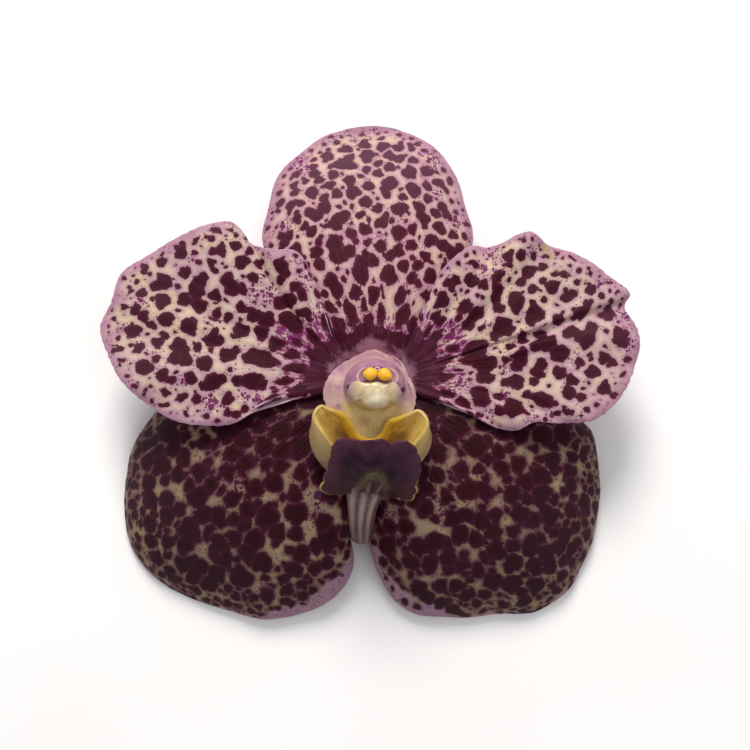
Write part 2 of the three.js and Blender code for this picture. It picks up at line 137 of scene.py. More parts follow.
# Each tepal: the ends of its claw and the height there, how high it arches, how strongly it rolls
# down at its edge, and the points of its margin
TEPALS = {
    "dorsal_sepal": {
        "claw": [(-3.3, -1.6), (4.4, -1.6)],
        "height": SEPAL_HEIGHT,
        "arch": 2.6,
        "edge": 2.0,
        "margin": [
            (-5.0, 1.2, 8.0), (-9.0, 6.6, 6.4), (-12.7, 11.6, 4.9), (-14.1, 15.6, 4.2),
            (-13.4, 20.0, 3.5), (-12.3, 24.8, 2.6), (-9.4, 28.6, 1.6), (-5.4, 31.7, 0.5),
            (-0.5, 33.1, -0.4), (4.0, 32.5, 0.3), (8.4, 29.7, 1.4), (11.4, 25.0, 2.4),
            (12.8, 20.0, 3.4), (13.6, 16.0, 4.2), (12.3, 11.6, 5.0), (9.0, 6.4, 6.6),
            (5.9, 1.2, 8.0),
        ],
    },
    "petal_left": {
        "claw": [(-3.3, -5.1), (-3.0, -2.2)],
        "height": PETAL_HEIGHT,
        "arch": 0.8,
        "edge": 0,
        "margin": [
            (-5.0, -6.0, 10.2), (-8.0, -7.0, 10.6), (-12.0, -7.6, 11.2), (-15.8, -9.7, 11.6),
            (-19.8, -10.4, 11.3), (-23.6, -9.9, 11.2), (-27.0, -8.0, 11.7), (-30.2, -5.2, 12.0),
            (-32.2, -1.6, 11.5), (-33.4, 2.0, 11.3), (-32.0, 5.4, 11.9), (-31.0, 8.8, 11.5),
            (-27.2, 11.5, 12.0), (-23.0, 13.8, 12.3), (-18.2, 15.5, 12.7), (-16.0, 14.8, 12.2),
            (-14.8, 12.8, 11.5), (-12.2, 11.7, 12.3), (-8.8, 11.4, 12.0), (-6.4, 7.4, 11.5),
            (-5.0, 3.0, 10.9), (-3.7, -0.4, 10.2),
        ],
    },
    "petal_right": {
        "claw": [(3.9, -2.2), (4.4, -5.4)],
        "height": PETAL_HEIGHT,
        "arch": 0.8,
        "edge": 0,
        "margin": [
            (4.5, -0.2, 10.2), (5.6, 2.2, 10.8), (7.1, 5.4, 11.5), (9.0, 9.2, 12.0),
            (12.6, 12.2, 12.2), (15.0, 12.4, 11.7), (19.8, 14.0, 12.6), (22.4, 12.6, 11.6),
            (26.2, 11.1, 12.3), (29.6, 8.6, 11.8), (32.4, 6.2, 12.4), (31.8, 4.4, 11.5),
            (33.2, 1.0, 12.4), (33.0, -2.2, 12.0), (30.8, -6.9, 11.6), (27.2, -9.9, 12.0),
            (22.8, -10.2, 11.5), (20.2, -10.1, 11.8), (17.4, -11.1, 11.2), (13.2, -9.5, 11.3),
            (9.4, -7.6, 10.9), (6.2, -6.6, 10.3),
        ],
    },
    "lateral_sepal_left": {
        "claw": [(-0.6, -6.4), (-3.0, -4.6)],
        "height": SEPAL_HEIGHT,
        "arch": 2.4,
        "edge": 1.1,
        "margin": [
            (-0.5, -10.2, 7.2), (-1.7, -16.0, 5.6), (-2.5, -21.7, 4.2), (-2.1, -26.4, 2.8),
            (-3.9, -29.9, 1.6), (-8.0, -32.5, 0.7), (-13.0, -33.1, 0.4), (-18.2, -31.9, 0.3),
            (-23.6, -30.3, -0.4), (-27.9, -27.4, 0.3), (-30.5, -23.5, 0.5), (-31.3, -18.6, 0.9),
            (-30.8, -13.4, 1.4), (-28.8, -9.0, 2.2), (-25.6, -5.6, 3.2), (-20.0, -4.4, 4.6),
            (-12.0, -4.3, 6.4), (-5.6, -4.5, 8.0),
        ],
    },
    "lateral_sepal_right": {
        "claw": [(4.2, -4.9), (1.5, -6.6)],
        "height": SEPAL_HEIGHT,
        "arch": 2.4,
        "edge": 1.1,
        "margin": [
            (6.8, -4.9, 7.9), (14.0, -4.7, 6.4), (22.4, -5.6, 4.4), (27.6, -8.8, 2.8),
            (29.1, -12.4, 2.0), (29.5, -17.0, 1.4), (28.5, -22.4, 0.8), (26.7, -26.8, 0.5),
            (24.8, -30.0, 0.3), (20.8, -32.4, -0.4), (15.4, -32.6, 0.3), (10.0, -33.0, 0.4),
            (6.3, -32.8, 0.7), (3.2, -30.8, 1.4), (1.2, -27.6, 2.4), (-0.2, -24.0, 3.6),
            (-1.3, -21.6, 4.3), (-1.4, -18.0, 5.2), (-0.9, -13.6, 6.4), (0.1, -10.0, 7.3),
        ],
    },
}

# Markings of each tepal. Its largest blotches and its clusters of freckles are placed where the
# photograph shows them, as pixels of x, y and radius, and the other spots are scattered by rule.
PIXELS_PER_MM = 8.0
PETAL_SPOTS = {"spacing": 1.20, "gap": (0.21, 0.18), "merge": 0.40, "base": 5.0}
LATERAL_SPOTS = {
    "radius": 1.25, "spacing": 0.78, "merge": 0.35, "rim": 0.6, "base": 3.0, "streaks": 4.0,
}
MARKINGS = {
    "dorsal_sepal": {
        "seed": 11, "radius": 0.98, "spacing": 1.02, "gap": (0.30, 0.14), "merge": 0.40,
        "rim": 0.9, "base": 4.4, "streaks": 7.5, "roots": [(371, 345, 19)],
        "blotches": [
            (346, 149, 8), (341, 164, 10), (349, 158, 7), (384, 146, 8), (390, 166, 7),
            (366, 169, 6.5), (350, 180, 8), (369, 186, 7.5), (390, 183, 9), (330, 185, 7),
            (337, 193, 7), (325, 208, 9), (291, 206, 7.5), (365, 203, 8), (378, 208, 7),
            (398, 209, 9), (403, 197, 6), (419, 206, 7.5), (443, 208, 7.5), (343, 216, 9.5),
            (336, 224, 9), (366, 228, 8), (381, 224, 8), (313, 232, 7), (398, 233, 9),
            (413, 229, 6.5), (316, 252, 8), (338, 255, 10), (347, 251, 8), (380, 246, 7.5),
            (362, 264, 9), (398, 251, 7), (424, 257, 7), (444, 246, 8), (390, 273, 10),
            (429, 277, 8), (411, 279, 7), (331, 281, 9), (374, 294, 8), (400, 297, 7),
        ],
        "freckles": [(287, 226, 12), (456, 222, 12), (440, 195, 10), (300, 165, 14), (430, 160, 14)],
    },
    "petal_left": {
        **PETAL_SPOTS, "seed": 21, "radius": 0.80, "rim": 0.8, "streaks": 11.0,
        "roots": [(330, 367, 9)],
        "blotches": [
            (202, 280, 7.5), (196, 292, 9), (199, 306, 8.5), (229, 280, 8), (233, 288, 8),
            (292, 323, 10), (255, 317, 8.5), (267, 321, 9), (261, 332, 7.5), (241, 331, 9),
            (280, 304, 7.5), (291, 301, 7.5), (253, 358, 10.5), (265, 359, 10), (273, 363, 6.5),
            (228, 356, 8.5), (237, 351, 6), (206, 363, 9), (214, 382, 9), (223, 378, 6),
            (205, 387, 5.5), (237, 382, 6.5), (251, 382, 9), (259, 377, 5), (216, 341, 9),
            (188, 325, 9.5), (177, 347, 9), (184, 351, 5.5), (164, 318, 9), (144, 317, 7),
            (136, 310, 5.5), (151, 325, 5), (133, 331, 8), (241, 262, 8), (281, 267, 8),
            (162, 262, 7), (164, 280, 7.5), (157, 287, 6), (164, 300, 8.5), (144, 367, 8.5),
            (161, 374, 7.5), (180, 254, 6.5), (186, 273, 7), (214, 296, 7), (186, 361, 7.5),
            (217, 314, 5.5), (229, 317, 5), (213, 252, 5), (211, 263, 5.5), (235, 246, 6),
        ],
        "freckles": [
            (263, 290, 20), (213, 402, 20), (182, 381, 9), (308, 278, 16), (287, 340, 12),
            (138, 300, 9), (122, 328, 7), (192, 259, 7), (316, 320, 14), (250, 398, 16),
        ],
        "smears": [(292, 344, 20), (312, 346, 18), (284, 327, 12), (300, 332, 14)],
    },
    "petal_right": {
        **PETAL_SPOTS, "seed": 33, "radius": 0.78, "rim": 0.9, "streaks": 10.5,
        "roots": [(408, 371, 9)],
        "blotches": [
            (464, 307, 7.5), (475, 315, 8), (467, 325, 7.5), (503, 328, 10.5), (476, 348, 11.5),
            (517, 299, 8.5), (517, 306, 6), (497, 290, 7), (495, 299, 6.5), (534, 313, 8),
            (530, 320, 7), (541, 315, 5.5), (472, 282, 8), (484, 285, 6), (456, 280, 6),
            (442, 301, 8), (546, 340, 10), (535, 347, 6.5), (560, 353, 10), (521, 358, 9.5),
            (517, 365, 6.5), (484, 363, 10.5), (485, 377, 8), (480, 393, 8.5), (484, 400, 6),
            (517, 381, 8.5), (513, 408, 10.5), (542, 399, 9.5), (588, 339, 10), (570, 331, 9),
            (578, 336, 6), (582, 312, 8), (559, 320, 7), (592, 327, 7), (538, 373, 7),
            (592, 372, 7), (573, 380, 7), (570, 393, 7.5), (604, 388, 6.5), (619, 341, 7.5),
            (604, 359, 6.5), (526, 274, 6.5), (533, 269, 4.5), (508, 257, 6), (521, 256, 5.5),
            (608, 312, 6), (591, 291, 6),
        ],
        "freckles": [
            (491, 263, 20), (489, 326, 10), (448, 335, 12), (621, 320, 14), (505, 368, 9),
            (550, 414, 9), (460, 381, 15), (487, 412, 10), (530, 250, 8), (628, 345, 12),
            (505, 395, 9), (600, 285, 8),
        ],
        "smears": [(438, 344, 18), (452, 332, 16), (462, 350, 14), (434, 328, 12)],
        "bruises": [(545, 248, 7), (549, 256, 7)],
    },
    "lateral_sepal_left": {
        **LATERAL_SPOTS, "seed": 42, "gap": (0.16, -0.16),
        "blotches": [
            (334, 575, 5.5), (312, 590, 5.5), (301, 586, 6.5), (286, 600, 6), (293, 603, 4.5),
            (277, 608, 3.5), (258, 608, 5), (265, 595, 8), (347, 554, 5), (342, 545, 6),
            (327, 563, 7), (315, 568, 7), (322, 581, 3), (304, 604, 3), (340, 566, 3),
        ],
        "freckles": [(238, 485, 12), (320, 500, 16)],
        "lilac": [(330, 592, 40), (290, 616, 30), (350, 562, 22)],
        "pale": [
            (197, 436, 6), (183, 446, 3), (218, 465, 7), (259, 475, 7), (268, 498, 9),
            (310, 500, 9), (325, 512, 7), (334, 517, 7), (280, 515, 6), (291, 482, 6),
            (214, 498, 5), (227, 512, 4), (191, 507, 4), (233, 530, 5), (270, 547, 5),
            (285, 555, 7), (270, 573, 8), (225, 580, 7), (200, 545, 5), (308, 527, 7),
            (312, 537, 6), (295, 463, 7), (303, 420, 5), (340, 545, 6), (338, 562, 7),
            (297, 585, 9), (262, 585, 8), (182, 490, 3), (172, 555, 3), (180, 571, 3),
        ],
    },
    "lateral_sepal_right": {
        **LATERAL_SPOTS, "seed": 57, "gap": (0.16, -0.14),
        "blotches": [
            (418, 589, 9), (439, 586, 8.5), (440, 603, 8), (418, 607, 4.5), (404, 602, 4.5),
            (403, 587, 3.5), (392, 588, 2.5), (411, 575, 4), (386, 578, 3), (394, 600, 2.5),
            (398, 566, 5), (384, 562, 6),
        ],
        "freckles": [(392, 510, 12), (445, 512, 12), (478, 434, 9), (540, 500, 9)],
        "lilac": [(395, 596, 36), (425, 616, 28), (372, 558, 24)],
        "pale": [
            (450, 455, 6), (470, 425, 6), (488, 470, 7), (500, 482, 7), (495, 505, 8),
            (467, 503, 7), (446, 510, 7), (418, 520, 9), (430, 530, 7), (392, 510, 9),
            (527, 450, 8), (530, 435, 5), (550, 430, 5), (460, 545, 6), (477, 555, 5),
            (478, 580, 7), (502, 540, 4), (410, 575, 8), (445, 583, 6), (500, 590, 6),
            (525, 556, 4), (566, 500, 5), (559, 480, 4), (580, 470, 6), (547, 575, 5),
            (440, 490, 5), (380, 500, 8), (428, 462, 6), (548, 535, 4), (400, 550, 4),
        ],
    },
}

# The fold that pinches the right petal, with its two ends as pixels
FOLD_ENDS = [(497, 353), (548, 333)]
# How it fades, in pixels before and beyond its ends, and the share of its length where it is whole
FOLD_BEFORE = 4
FOLD_BEYOND = 14
FOLD_ENDING = 2
FOLD_DEEPENS = 0.35
FOLD_DEPTH = 0.55
FOLD_WIDTH = 0.45
FOLD_BEND = 0.25
FOLD_RIDGE = 0.7
FOLD_RIDGE_BESIDE = 0.9
FOLD_RIDGE_WIDTH = 0.7
# Each wave: how many run along the whole margin, how far each lifts it and how far in they reach
MARGIN_WAVES = {
    "petal_left": [(7, 0.30, 5.0), (17, 0.10, 2.5)],
    "petal_right": [(8, 0.32, 5.0), (19, 0.12, 2.5)],
    "dorsal_sepal": [(5, 0.12, 4.0)],
    "lateral_sepal_left": [(6, 0.10, 3.0)],
    "lateral_sepal_right": [(6, 0.10, 3.0)],
}

# The lip
MIDLOBE_COLUMNS = 240
MIDLOBE_ROWS = 90
# Each keel: its x at the foot, its x at the top and how far up it reaches
MIDLOBE_KEELS = [(-1.6, -1.3, 1.5), (-0.32, 0.05, 2.4), (0.75, 1.3, 2.0)]
# How far past its top a keel is gone, how far before it it is whole, and up to what share of
# its height it slants
KEEL_GONE = 0.7
KEEL_WHOLE = 0.8
KEEL_SLANT_END = 1.2
# The pale arch round the keels: x of its middle, its top, its spread and the width of its band
ARCH_X = 0.5
ARCH_TOP = 4.0
ARCH_SPREAD = 0.95
ARCH_BAND = 0.42
# How far below its top the arch begins and its legs fade, and its crown's middle and reach
ARCH_BEGINS = (-0.5, 0.2)
ARCH_LEGS_FADE = (3.6, 1.8)
ARCH_CROWN = (0.5, 0.7)
# How strongly the arch and the keels show in the colours
ARCH_SHOWS = 1.3
KEEL_SHOWS = 1.2
MIDLOBE_SEED = 71
MIDLOBE_KEEL_HEIGHT = 0.22
MIDLOBE_KEEL_WIDTH = 0.27
MIDLOBE_GROOVE_WIDTH = 0.13
MIDLOBE_GROOVE_BESIDE = 0.5
MIDLOBE_HUMP_HEIGHT = 0.45
MIDLOBE_HUMP_ABOVE = 0.5
MIDLOBE_HUMP_EDGE = (-0.6, 1.2)
MIDLOBE_DENT_DEPTH = 0.16
MIDLOBE_DENT_SIZE = 1.7
# Where its foot darkens, and where its lower edge turns pale on both sides of the middle
MIDLOBE_LOW = (3.4, 0.4)
PALE_EDGE_UP = (2.6, 1.4)
PALE_EDGE_X = 0.4
PALE_EDGE_REACH = (2.6, 3.4)
WRINKLE_CENTRE = (0.6, 5.4)
WRINKLE_REACH = (3.0, 2.0)
WRINKLE_DEPTH = 0.10
# Waves of the wrinkles in radians a millimetre, and how far they sway across the lobe
WRINKLE_WAVES = 4.2
WRINKLE_SWAY = (0.5, 1.3)
MIDLOBE_SCALLOPS = 17
SCALLOP_WANDER = ((0.9, 3, 1), (0.5, 7, 0))
SCALLOP_MIDDLE = 0.6
SCALLOP_PUSH = 0.25
SCALLOP_REACH = 0.8
SCALLOP_LIFT = 0.18
SCALLOP_LIFT_REACH = 1.3
# The midlobe is shaped as a flat blade, then turned up by its slope and set on its foot
MIDLOBE = {
    "foot": (0.0, -18.7, 12.0),
    "slope": math.radians(54),
    "thickness": 0.8,
    "claw": [(-2.2, 0.2), (1.7, 0.2)],
    "height": 0.0,
    "arch": 0.4,
    "edge": 0,
    "margin": [
        (-3.2, -0.1, 0.0), (-4.7, -0.3, 0.2), (-5.8, 0.7, 0.2), (-5.5, 2.2, 0.0),
        (-4.8, 4.2, -0.2), (-4.5, 6.3, 0.0), (-4.1, 8.3, 0.2), (-3.2, 9.0, 0.3),
        (-2.0, 8.6, -0.2), (-0.8, 8.3, 0.1), (0.5, 8.8, 0.3), (1.6, 8.6, -0.1),
        (2.6, 8.2, 0.1), (3.6, 8.6, 0.3), (4.8, 8.0, 0.0), (5.7, 6.4, -0.2),
        (6.2, 4.2, 0.0), (5.8, 2.0, 0.2), (5.6, -0.2, 0.3), (4.3, -1.4, 0.4),
        (2.9, -0.3, 0.2),
    ],
}
CUP_FLOOR = np.array([0.2, -14.2, 9.0])
CUP_WALL = 0.6
CUP_ROLL = 0.55
CUP_ROLL_FADE = (0.05, 0.75)
CUP_INSIDE_Z = 11.0
CUP_BOWL_SHARE = 0.72
CUP_BOWL_DROP = 1.5
# Rings of its inside: the throat's share of the width and its drop, then each lower one's share
# of the belly's width and how far it stands above the inside's floor
CUP_THROAT = (0.80, 0.5)
CUP_SCOOP = ((0.52, 0.3), (0.26, 0.1))
CUP_MIDDLE_SHARE = 0.06
CUP_FLOOR_SHARE = 0.15
CUP_CREST = 0.1
# Waves of the cup's rim: size, how many round it and phase
CUP_WAVES = (0.06, 9, 0)
CUP_STREAKS = 24
CUP_SHOULDER = 0.25
CUP_SLOPE = 0.5
CUP_WINDOW = 6
CUP_SIDES = 220
CUP_ROWS_A_SPAN = 12
CUP_BELLY = [
    (0.2, -12.5, 11.0), (1.2, -12.0, 11.1), (1.9, -11.3, 11.2), (2.6, -10.9, 11.2),
    (3.4, -10.65, 11.3), (4.5, -10.4, 11.5), (5.6, -10.3, 11.8), (6.7, -10.8, 12.2),
    (7.4, -12.2, 12.6), (6.9, -14.2, 12.2), (4.4, -16.6, 11.5), (0.1, -17.4, 11.2),
    (-4.0, -16.8, 11.5), (-6.5, -14.4, 12.2), (-7.1, -12.0, 12.6), (-6.4, -10.5, 12.2),
    (-5.4, -10.0, 11.8), (-4.4, -10.1, 11.5), (-3.4, -10.4, 11.3), (-2.5, -10.8, 11.2),
    (-1.7, -11.4, 11.2), (-0.9, -12.0, 11.1),
]
CUP_RIM = [
    (0.1, -12.25, 12.6), (1.25, -11.8, 13.1), (1.8, -10.9, 13.8), (2.4, -10.25, 14.3),
    (3.4, -10.0, 14.8), (4.7, -9.7, 15.5), (5.7, -9.35, 16.0), (6.6, -9.9, 16.4),
    (7.1, -11.2, 16.4), (6.4, -12.9, 15.9), (4.2, -14.8, 14.2), (0.1, -15.8, 12.8),
    (-3.7, -14.7, 14.2), (-5.7, -12.5, 15.9), (-6.7, -10.6, 16.4), (-6.4, -9.4, 16.4),
    (-5.6, -8.8, 16.0), (-4.7, -9.05, 15.5), (-3.5, -9.4, 14.9), (-2.6, -9.9, 14.4),
    (-1.9, -10.9, 13.8), (-1.3, -11.75, 13.1),
]
# Stations of the spur: x, y, height, half width and half depth
SPUR = [
    (-0.15, -17.1, 12.6, 1.7, 0.8), (-0.4, -18.3, 11.5, 2.3, 1.25),
    (-0.75, -19.6, 9.8, 1.95, 1.4), (-0.9, -20.7, 8.2, 1.72, 1.3),
    (-1.0, -21.9, 6.8, 1.6, 1.15), (-1.0, -23.0, 5.4, 1.45, 1.0),
]
SPUR_TIP = (-0.95, -23.9, 4.3)
SPUR_RINGS = 90
SPUR_SIDES = 120
SPUR_KEELS = (-0.68, -0.08, 0.5)
SPUR_KEEL_WIDTH = 0.17
SPUR_KEEL_HEIGHT = 0.05
SPUR_GROOVE_BESIDE = 0.29
SPUR_GROOVE_WIDTH = 0.10
SPUR_GROOVE_DEPTH = 0.03
# They lie on its upper side, begin past its root and lose a share of their depth to its tip
SPUR_UPPER = (0.0, 0.3)
SPUR_RELIEF_BEGINS = (0.05, 0.35)
SPUR_RELIEF_LOSS = 0.5
# The rings of the spur's rounded tip, as shares of the way round its quarter circle
SPUR_TIP_STEPS = (0.5, 0.8, 0.95)

# The column
COLUMN_HEAD = (0.65, -6.0)
COLUMN_HEAD_RADII = (3.7, 3.15)
COLUMN_CROWN = 16.35
COLUMN_SHOULDER = 14.0
COLUMN_BASE = 8.1
COLUMN_FOOT = (0.55, -5.5)
COLUMN_FOOT_RADII = (4.4, 4.8)
COLUMN_NECK = (0.1, 0.55)
COLUMN_HOLLOW = 0.1
COLUMN_WAIST = 11.1
WAIST_DROP = 0.1
BASE_DROP = 0.2
COLUMN_SIDES = 230
COLUMN_DOME_RINGS = 64
COLUMN_FIRST_RING = 0.02
COLUMN_ROWS_A_SPAN = 14
COLUMN_SEAMS = (-0.15, 0.45, 0.95)
SEAM_WIDTH = 0.13
HEAD_FOOT = 13.4
HEAD_BLUNTNESS = 0.9
# Where the head's colour ends and the wing's begins, as shares of the head's radii
HEAD_ENDS = (1.08, 0.96)
WING_BEGINS = (1.0, 1.2)
# Zones of the column: the y where each begins, and the y where it is whole
COLUMN_ZONES = {
    "front": (-8.2, -10.0), "middle": (-7.2, -8.2), "head": (-8.5, -7.7), "warm": (-6.2, -8.4),
    "seam": (-9.8, -12.0), "fade": (-2.6, -1.0), "membrane": (-6.6, -6.0),
}
MIDDLE_X = 0.4
MIDDLE_REACH = (4.2, 2.6)
# The dark dots on both sides of its head, as pixels of x, y and radius
COLUMN_DOTS = [(349, 387, 4), (403, 390, 4)]
DOT_EDGE = (0.1, 0.6)
PIT_CENTRE = (1.0, -5.5)
PIT_RADII = (2.3, 1.4)
PIT_DEPTH = 0.3
PIT_EDGE = (1.0, 0.75)
MEMBRANE_HEIGHT = 0.16
MEMBRANE_REACH = 1.04
MEMBRANE_WIDTH = 0.05
MEMBRANE_BESIDE = (1.2, 1.7)
MEMBRANE_SHOWS = 1.4
WING_SLOPE_WIDTH = 0.5
# Fine ripples of the wing's edge: size, how many round it and phase
WING_RIPPLES = ((0.02, 31, 0), (0.03, 43, 1))
# Two rings under the wing: how far in from its edge, and how far down
WING_UNDERSIDE = ((0.3, 0.45), (1.0, 0.95))
# Towards the back the wing joins the column: by what share, and the y where that begins and ends
WING_JOINED = 0.9
WING_JOINS = (-5.5, -3.0)
WING_BACK = (-4.0, -1.0)
WING_BACK_RISE = 0.3
COLUMN_WING = [
    (0.5, -0.5, 9.4), (2.3, -1.4, 10.0), (3.8, -3.2, 12.0), (5.0, -5.2, 13.4),
    (5.6, -7.0, 13.7), (5.4, -8.7, 13.1), (4.3, -10.0, 12.6), (3.0, -11.0, 12.3),
    (1.7, -12.2, 12.0), (0.2, -13.0, 11.9), (-1.3, -12.1, 12.0), (-2.9, -10.7, 12.3),
    (-4.2, -9.5, 12.6), (-5.2, -8.3, 13.2), (-5.55, -6.8, 13.6), (-5.0, -5.0, 13.3),
    (-3.7, -3.2, 12.0), (-1.5, -1.4, 10.0),
]
BEAK_CENTRE = (0.98, -4.55, 16.3)
BEAK_SIDES = 32
BEAK_FLATNESS = 0.8
BEAK_EYE_RADIUS = 0.2
# Rings of the beak from its root over its brim into its eye: radius and height
BEAK_PROFILE = [
    (0.36, -0.5), (0.34, 0.0), (0.29, 0.1), (0.22, 0.12), (0.15, 0.06), (0.12, -0.02), (0.05, -0.06),
]
CAP_CENTRE = (0.75, -7.6)
CAP_HEIGHT = 0.60
CAP_SUNK = 0.15
# How far its chevron, spine, nose and creases stand out, as shares of its height
CAP_RELIEF = (0.13, 0.10, 0.28, -0.30)
# Past its lip it follows the head's slope by this share
CAP_LIP = -7.8
CAP_FOLLOWS = 0.6
# Powers that bulge its plan and its rise, and the share of its outline that its top ring keeps
CAP_BULGE = (0.6, 0.7)
CAP_TOP_RING = 0.01
CAP_SIDES = 160
CAP_RINGS = 60
CAP_RIDGE_X = 0.95
CAP_CHEVRON_Y = -6.6
CHEVRON_SLANT = 0.9
CHEVRON_WIDTH = 0.16
CHEVRON_ENDS = (1.2, 0.7)
SPINE_WIDTH = 0.35
SPINE_BEGINS = (-6.8, -7.4)
SPINE_SHOWS = 0.7
CAP_NOSE = (0.8, -8.4)
NOSE_REACH = 0.9
NOSE_LENGTH = 0.8
# Its cheeks, by the distance from its middle: how much lower they are, where, and their colour
CHEEK_DROP = 0.35
CHEEK_REACH = (1.6, 3.2)
CHEEK_COLOUR_REACH = (1.8, 3.1)
CREASE_WIDTH = 0.3
CREASE_LOSS = 0.6
CAP_CREASES = [((-1.1, -8.2), (-0.5, -7.0)), ((2.6, -8.4), (2.1, -7.1))]
CAP_OUTLINE = [
    (0.9, -6.1), (2.0, -6.3), (2.9, -6.0), (3.7, -6.6), (4.1, -7.5), (3.8, -8.3),
    (3.1, -8.5), (2.6, -8.4), (1.8, -9.0), (0.7, -9.15), (-0.4, -8.9), (-1.1, -8.2),
    (-1.7, -8.3), (-2.4, -8.1), (-2.7, -7.4), (-2.4, -6.4), (-1.6, -5.9), (-0.6, -6.2),
]
# Each pollen mass: side, x, y, turn and how many soft corners
POLLEN_MASSES = [("left", 0.15, -5.25, 0.15, 4), ("right", 1.85, -5.35, -0.35, 3)]
POLLEN_HEIGHT = 16.75
POLLEN_RADII = (0.88, 0.76, 0.62)
POLLEN_CORNER = 0.05
POLLEN_CORNER_TURN = 0.7
POLLEN_BLUNTNESS = 0.9
POLLEN_SIDES = 64
POLLEN_RINGS = 40
POLLEN_ENDS = (0.03, 0.97)

# The pedicel
FLOWER_CENTRE = (0.6, -3.9)
PEDICEL_HEADING = math.radians(232)
# Stations of the pedicel: how far along its heading, height and radius
PEDICEL = [
    (0.0, 8.75, 1.85), (0.1, 7.2, 1.75), (1.4, 5.3, 1.6), (4.6, 3.9, 1.6), (8.6, 3.0, 1.65),
    (13.6, 2.1, 1.55),
]
PEDICEL_RIBS = 6
PEDICEL_RIB_HEIGHT = 0.09
PEDICEL_UNEVEN = 0.02
PEDICEL_WAVES = (9, 2)
PEDICEL_RIB_EDGE = (0.2, 1.0)
PEDICEL_RINGS = 120
PEDICEL_SIDES = 108
# The cut end: the share of the last ring that each of its rings keeps, and how far out it stands
PEDICEL_CUT = [(0.99, 0.03), (0.93, 0.08), (0.8, 0.04), (0.5, -0.05), (0.2, -0.08)]

# The studio
FLOOR_SIZE = 2000
WORLD_COLOUR = (0.95, 0.97, 1.0, 1.0)
WORLD_STRENGTH = 0.54
# Each light: name, place, size, watts and colour
LIGHTS = [
    ("key", (-40, 320, 340), 200, 2.05, (1.0, 0.98, 0.95)),
    ("fill", (160, -120, 420), 300, 0.25, (0.93, 0.96, 1.0)),
]


# Curves
def smooth_through(stations, closed, shares):
    """Points of a smooth curve through the stations, at shares from 0 to 1 of its spans."""
    stations = np.asarray(stations, float)
    count = len(stations)
    spans = count if closed else count - 1
    shares = np.asarray(shares, float)
    span = np.minimum(np.floor(shares * spans).astype(int), spans - 1)
    along = (shares * spans - span).reshape((-1,) + (1,) * (stations.ndim - 1))

    def station(offset):
        index = span + offset
        return stations[index % count] if closed else stations[np.clip(index, 0, count - 1)]

    before, start, end, after = (station(offset) for offset in (-1, 0, 1, 2))
    slope_in = (end - before) / 2
    slope_out = (after - start) / 2
    bend = 3 * (end - start) - 2 * slope_in - slope_out
    twist = 2 * (start - end) + slope_in + slope_out
    return start + along * (slope_in + along * (bend + along * twist))


def evenly_along(stations, count):
    """count + 1 points along the curve through the stations, at even distances."""
    fine_count = len(stations) * FINE_STEPS
    fine = smooth_through(stations, False, np.linspace(0, 1, fine_count + 1))
    steps = np.linalg.norm(np.diff(fine, axis=0), axis=1)
    travelled = np.concatenate([[0], np.cumsum(steps)])
    targets = np.linspace(0, travelled[-1], count + 1)
    return np.stack([np.interp(targets, travelled, fine[:, axis]) for axis in range(3)], axis=1)


def smoothstep(value, low, high):
    share = np.clip((value - low) / (high - low), 0, 1)
    return share * share * (3 - 2 * share)


def bell(value, width):
    return np.exp(-((value / width) ** 2))


def unit(vectors):
    return vectors / np.linalg.norm(vectors, axis=-1, keepdims=True)


def turns(count):
    """Shares of a whole turn, for so many points round a ring."""
    return np.arange(count) / count


def waves(share, *parts):
    """A sum of waves, each given by its size, how many there are and its phase."""
    return sum(size * np.sin(TAU * count * share + phase) for size, count, phase in parts)


def rings_through(stations, rows_a_span):
    """Rings that run smoothly through a few given ones, with so many rows from each to the next."""
    rows = (len(stations) - 1) * rows_a_span + 1
    return smooth_through(np.stack(stations), False, np.linspace(0, 1, rows))


def along_line(x, y, ends):
    """How far places lie along a line from its first end and how far beside it, and its length."""
    (x0, y0), (x1, y1) = ends
    length = math.hypot(x1 - x0, y1 - y0)
    run = ((x - x0) * (x1 - x0) + (y - y0) * (y1 - y0)) / length
    beside = ((x - x0) * (y1 - y0) - (y - y0) * (x1 - x0)) / length
    return run, beside, length


def seen_at(points):
    """Where the photograph shows points, in pixels from its top left corner."""
    x = points[..., 0] - LOOK_AT[0]
    y = points[..., 1] - LOOK_AT[1]
    z = points[..., 2]
    depth = CAMERA_DISTANCE + y * math.sin(TILT) - z * math.cos(TILT)
    up = y * math.cos(TILT) + z * math.sin(TILT)
    middle = PICTURE / 2
    return middle + FOCAL_PIXELS * x / depth, middle - FOCAL_PIXELS * up / depth


def wave_noise(rng, points, size):
    """A smooth random field over points, mostly from -1 to 1, with bumps of about that size."""
    total = np.zeros(points.shape[:-1])
    for _ in range(NOISE_WAVES):
        direction = unit(rng.normal(size=points.shape[-1])) * math.pi / size
        direction *= rng.uniform(*NOISE_SPREAD)
        total += np.sin(points @ direction + rng.uniform(0, TAU))
    return total / math.sqrt(NOISE_WAVES)


# Meshes
def mesh_object(name, points, faces, material, attributes):
    mesh = bpy.data.meshes.new(name)
    mesh.from_pydata((np.asarray(points) * MM).tolist(), [], faces)
    mesh.polygons.foreach_set("use_smooth", np.ones(len(mesh.polygons), bool))
    for key, values in attributes.items():
        values = np.asarray(values, np.float32)
        if values.ndim == 1:
            mesh.attributes.new(key, "FLOAT", "POINT").data.foreach_set("value", values)
        else:
            layer = mesh.attributes.new(key, "FLOAT_VECTOR", "POINT")
            layer.data.foreach_set("vector", values.ravel())
    mesh.materials.append(material)
    mesh.update()
    piece = bpy.data.objects.new(name, mesh)
    bpy.context.scene.collection.objects.link(piece)
    return piece


def dress(piece, slot, *nodes):
    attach(piece, "root")
    if nodes:
        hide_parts(*nodes)


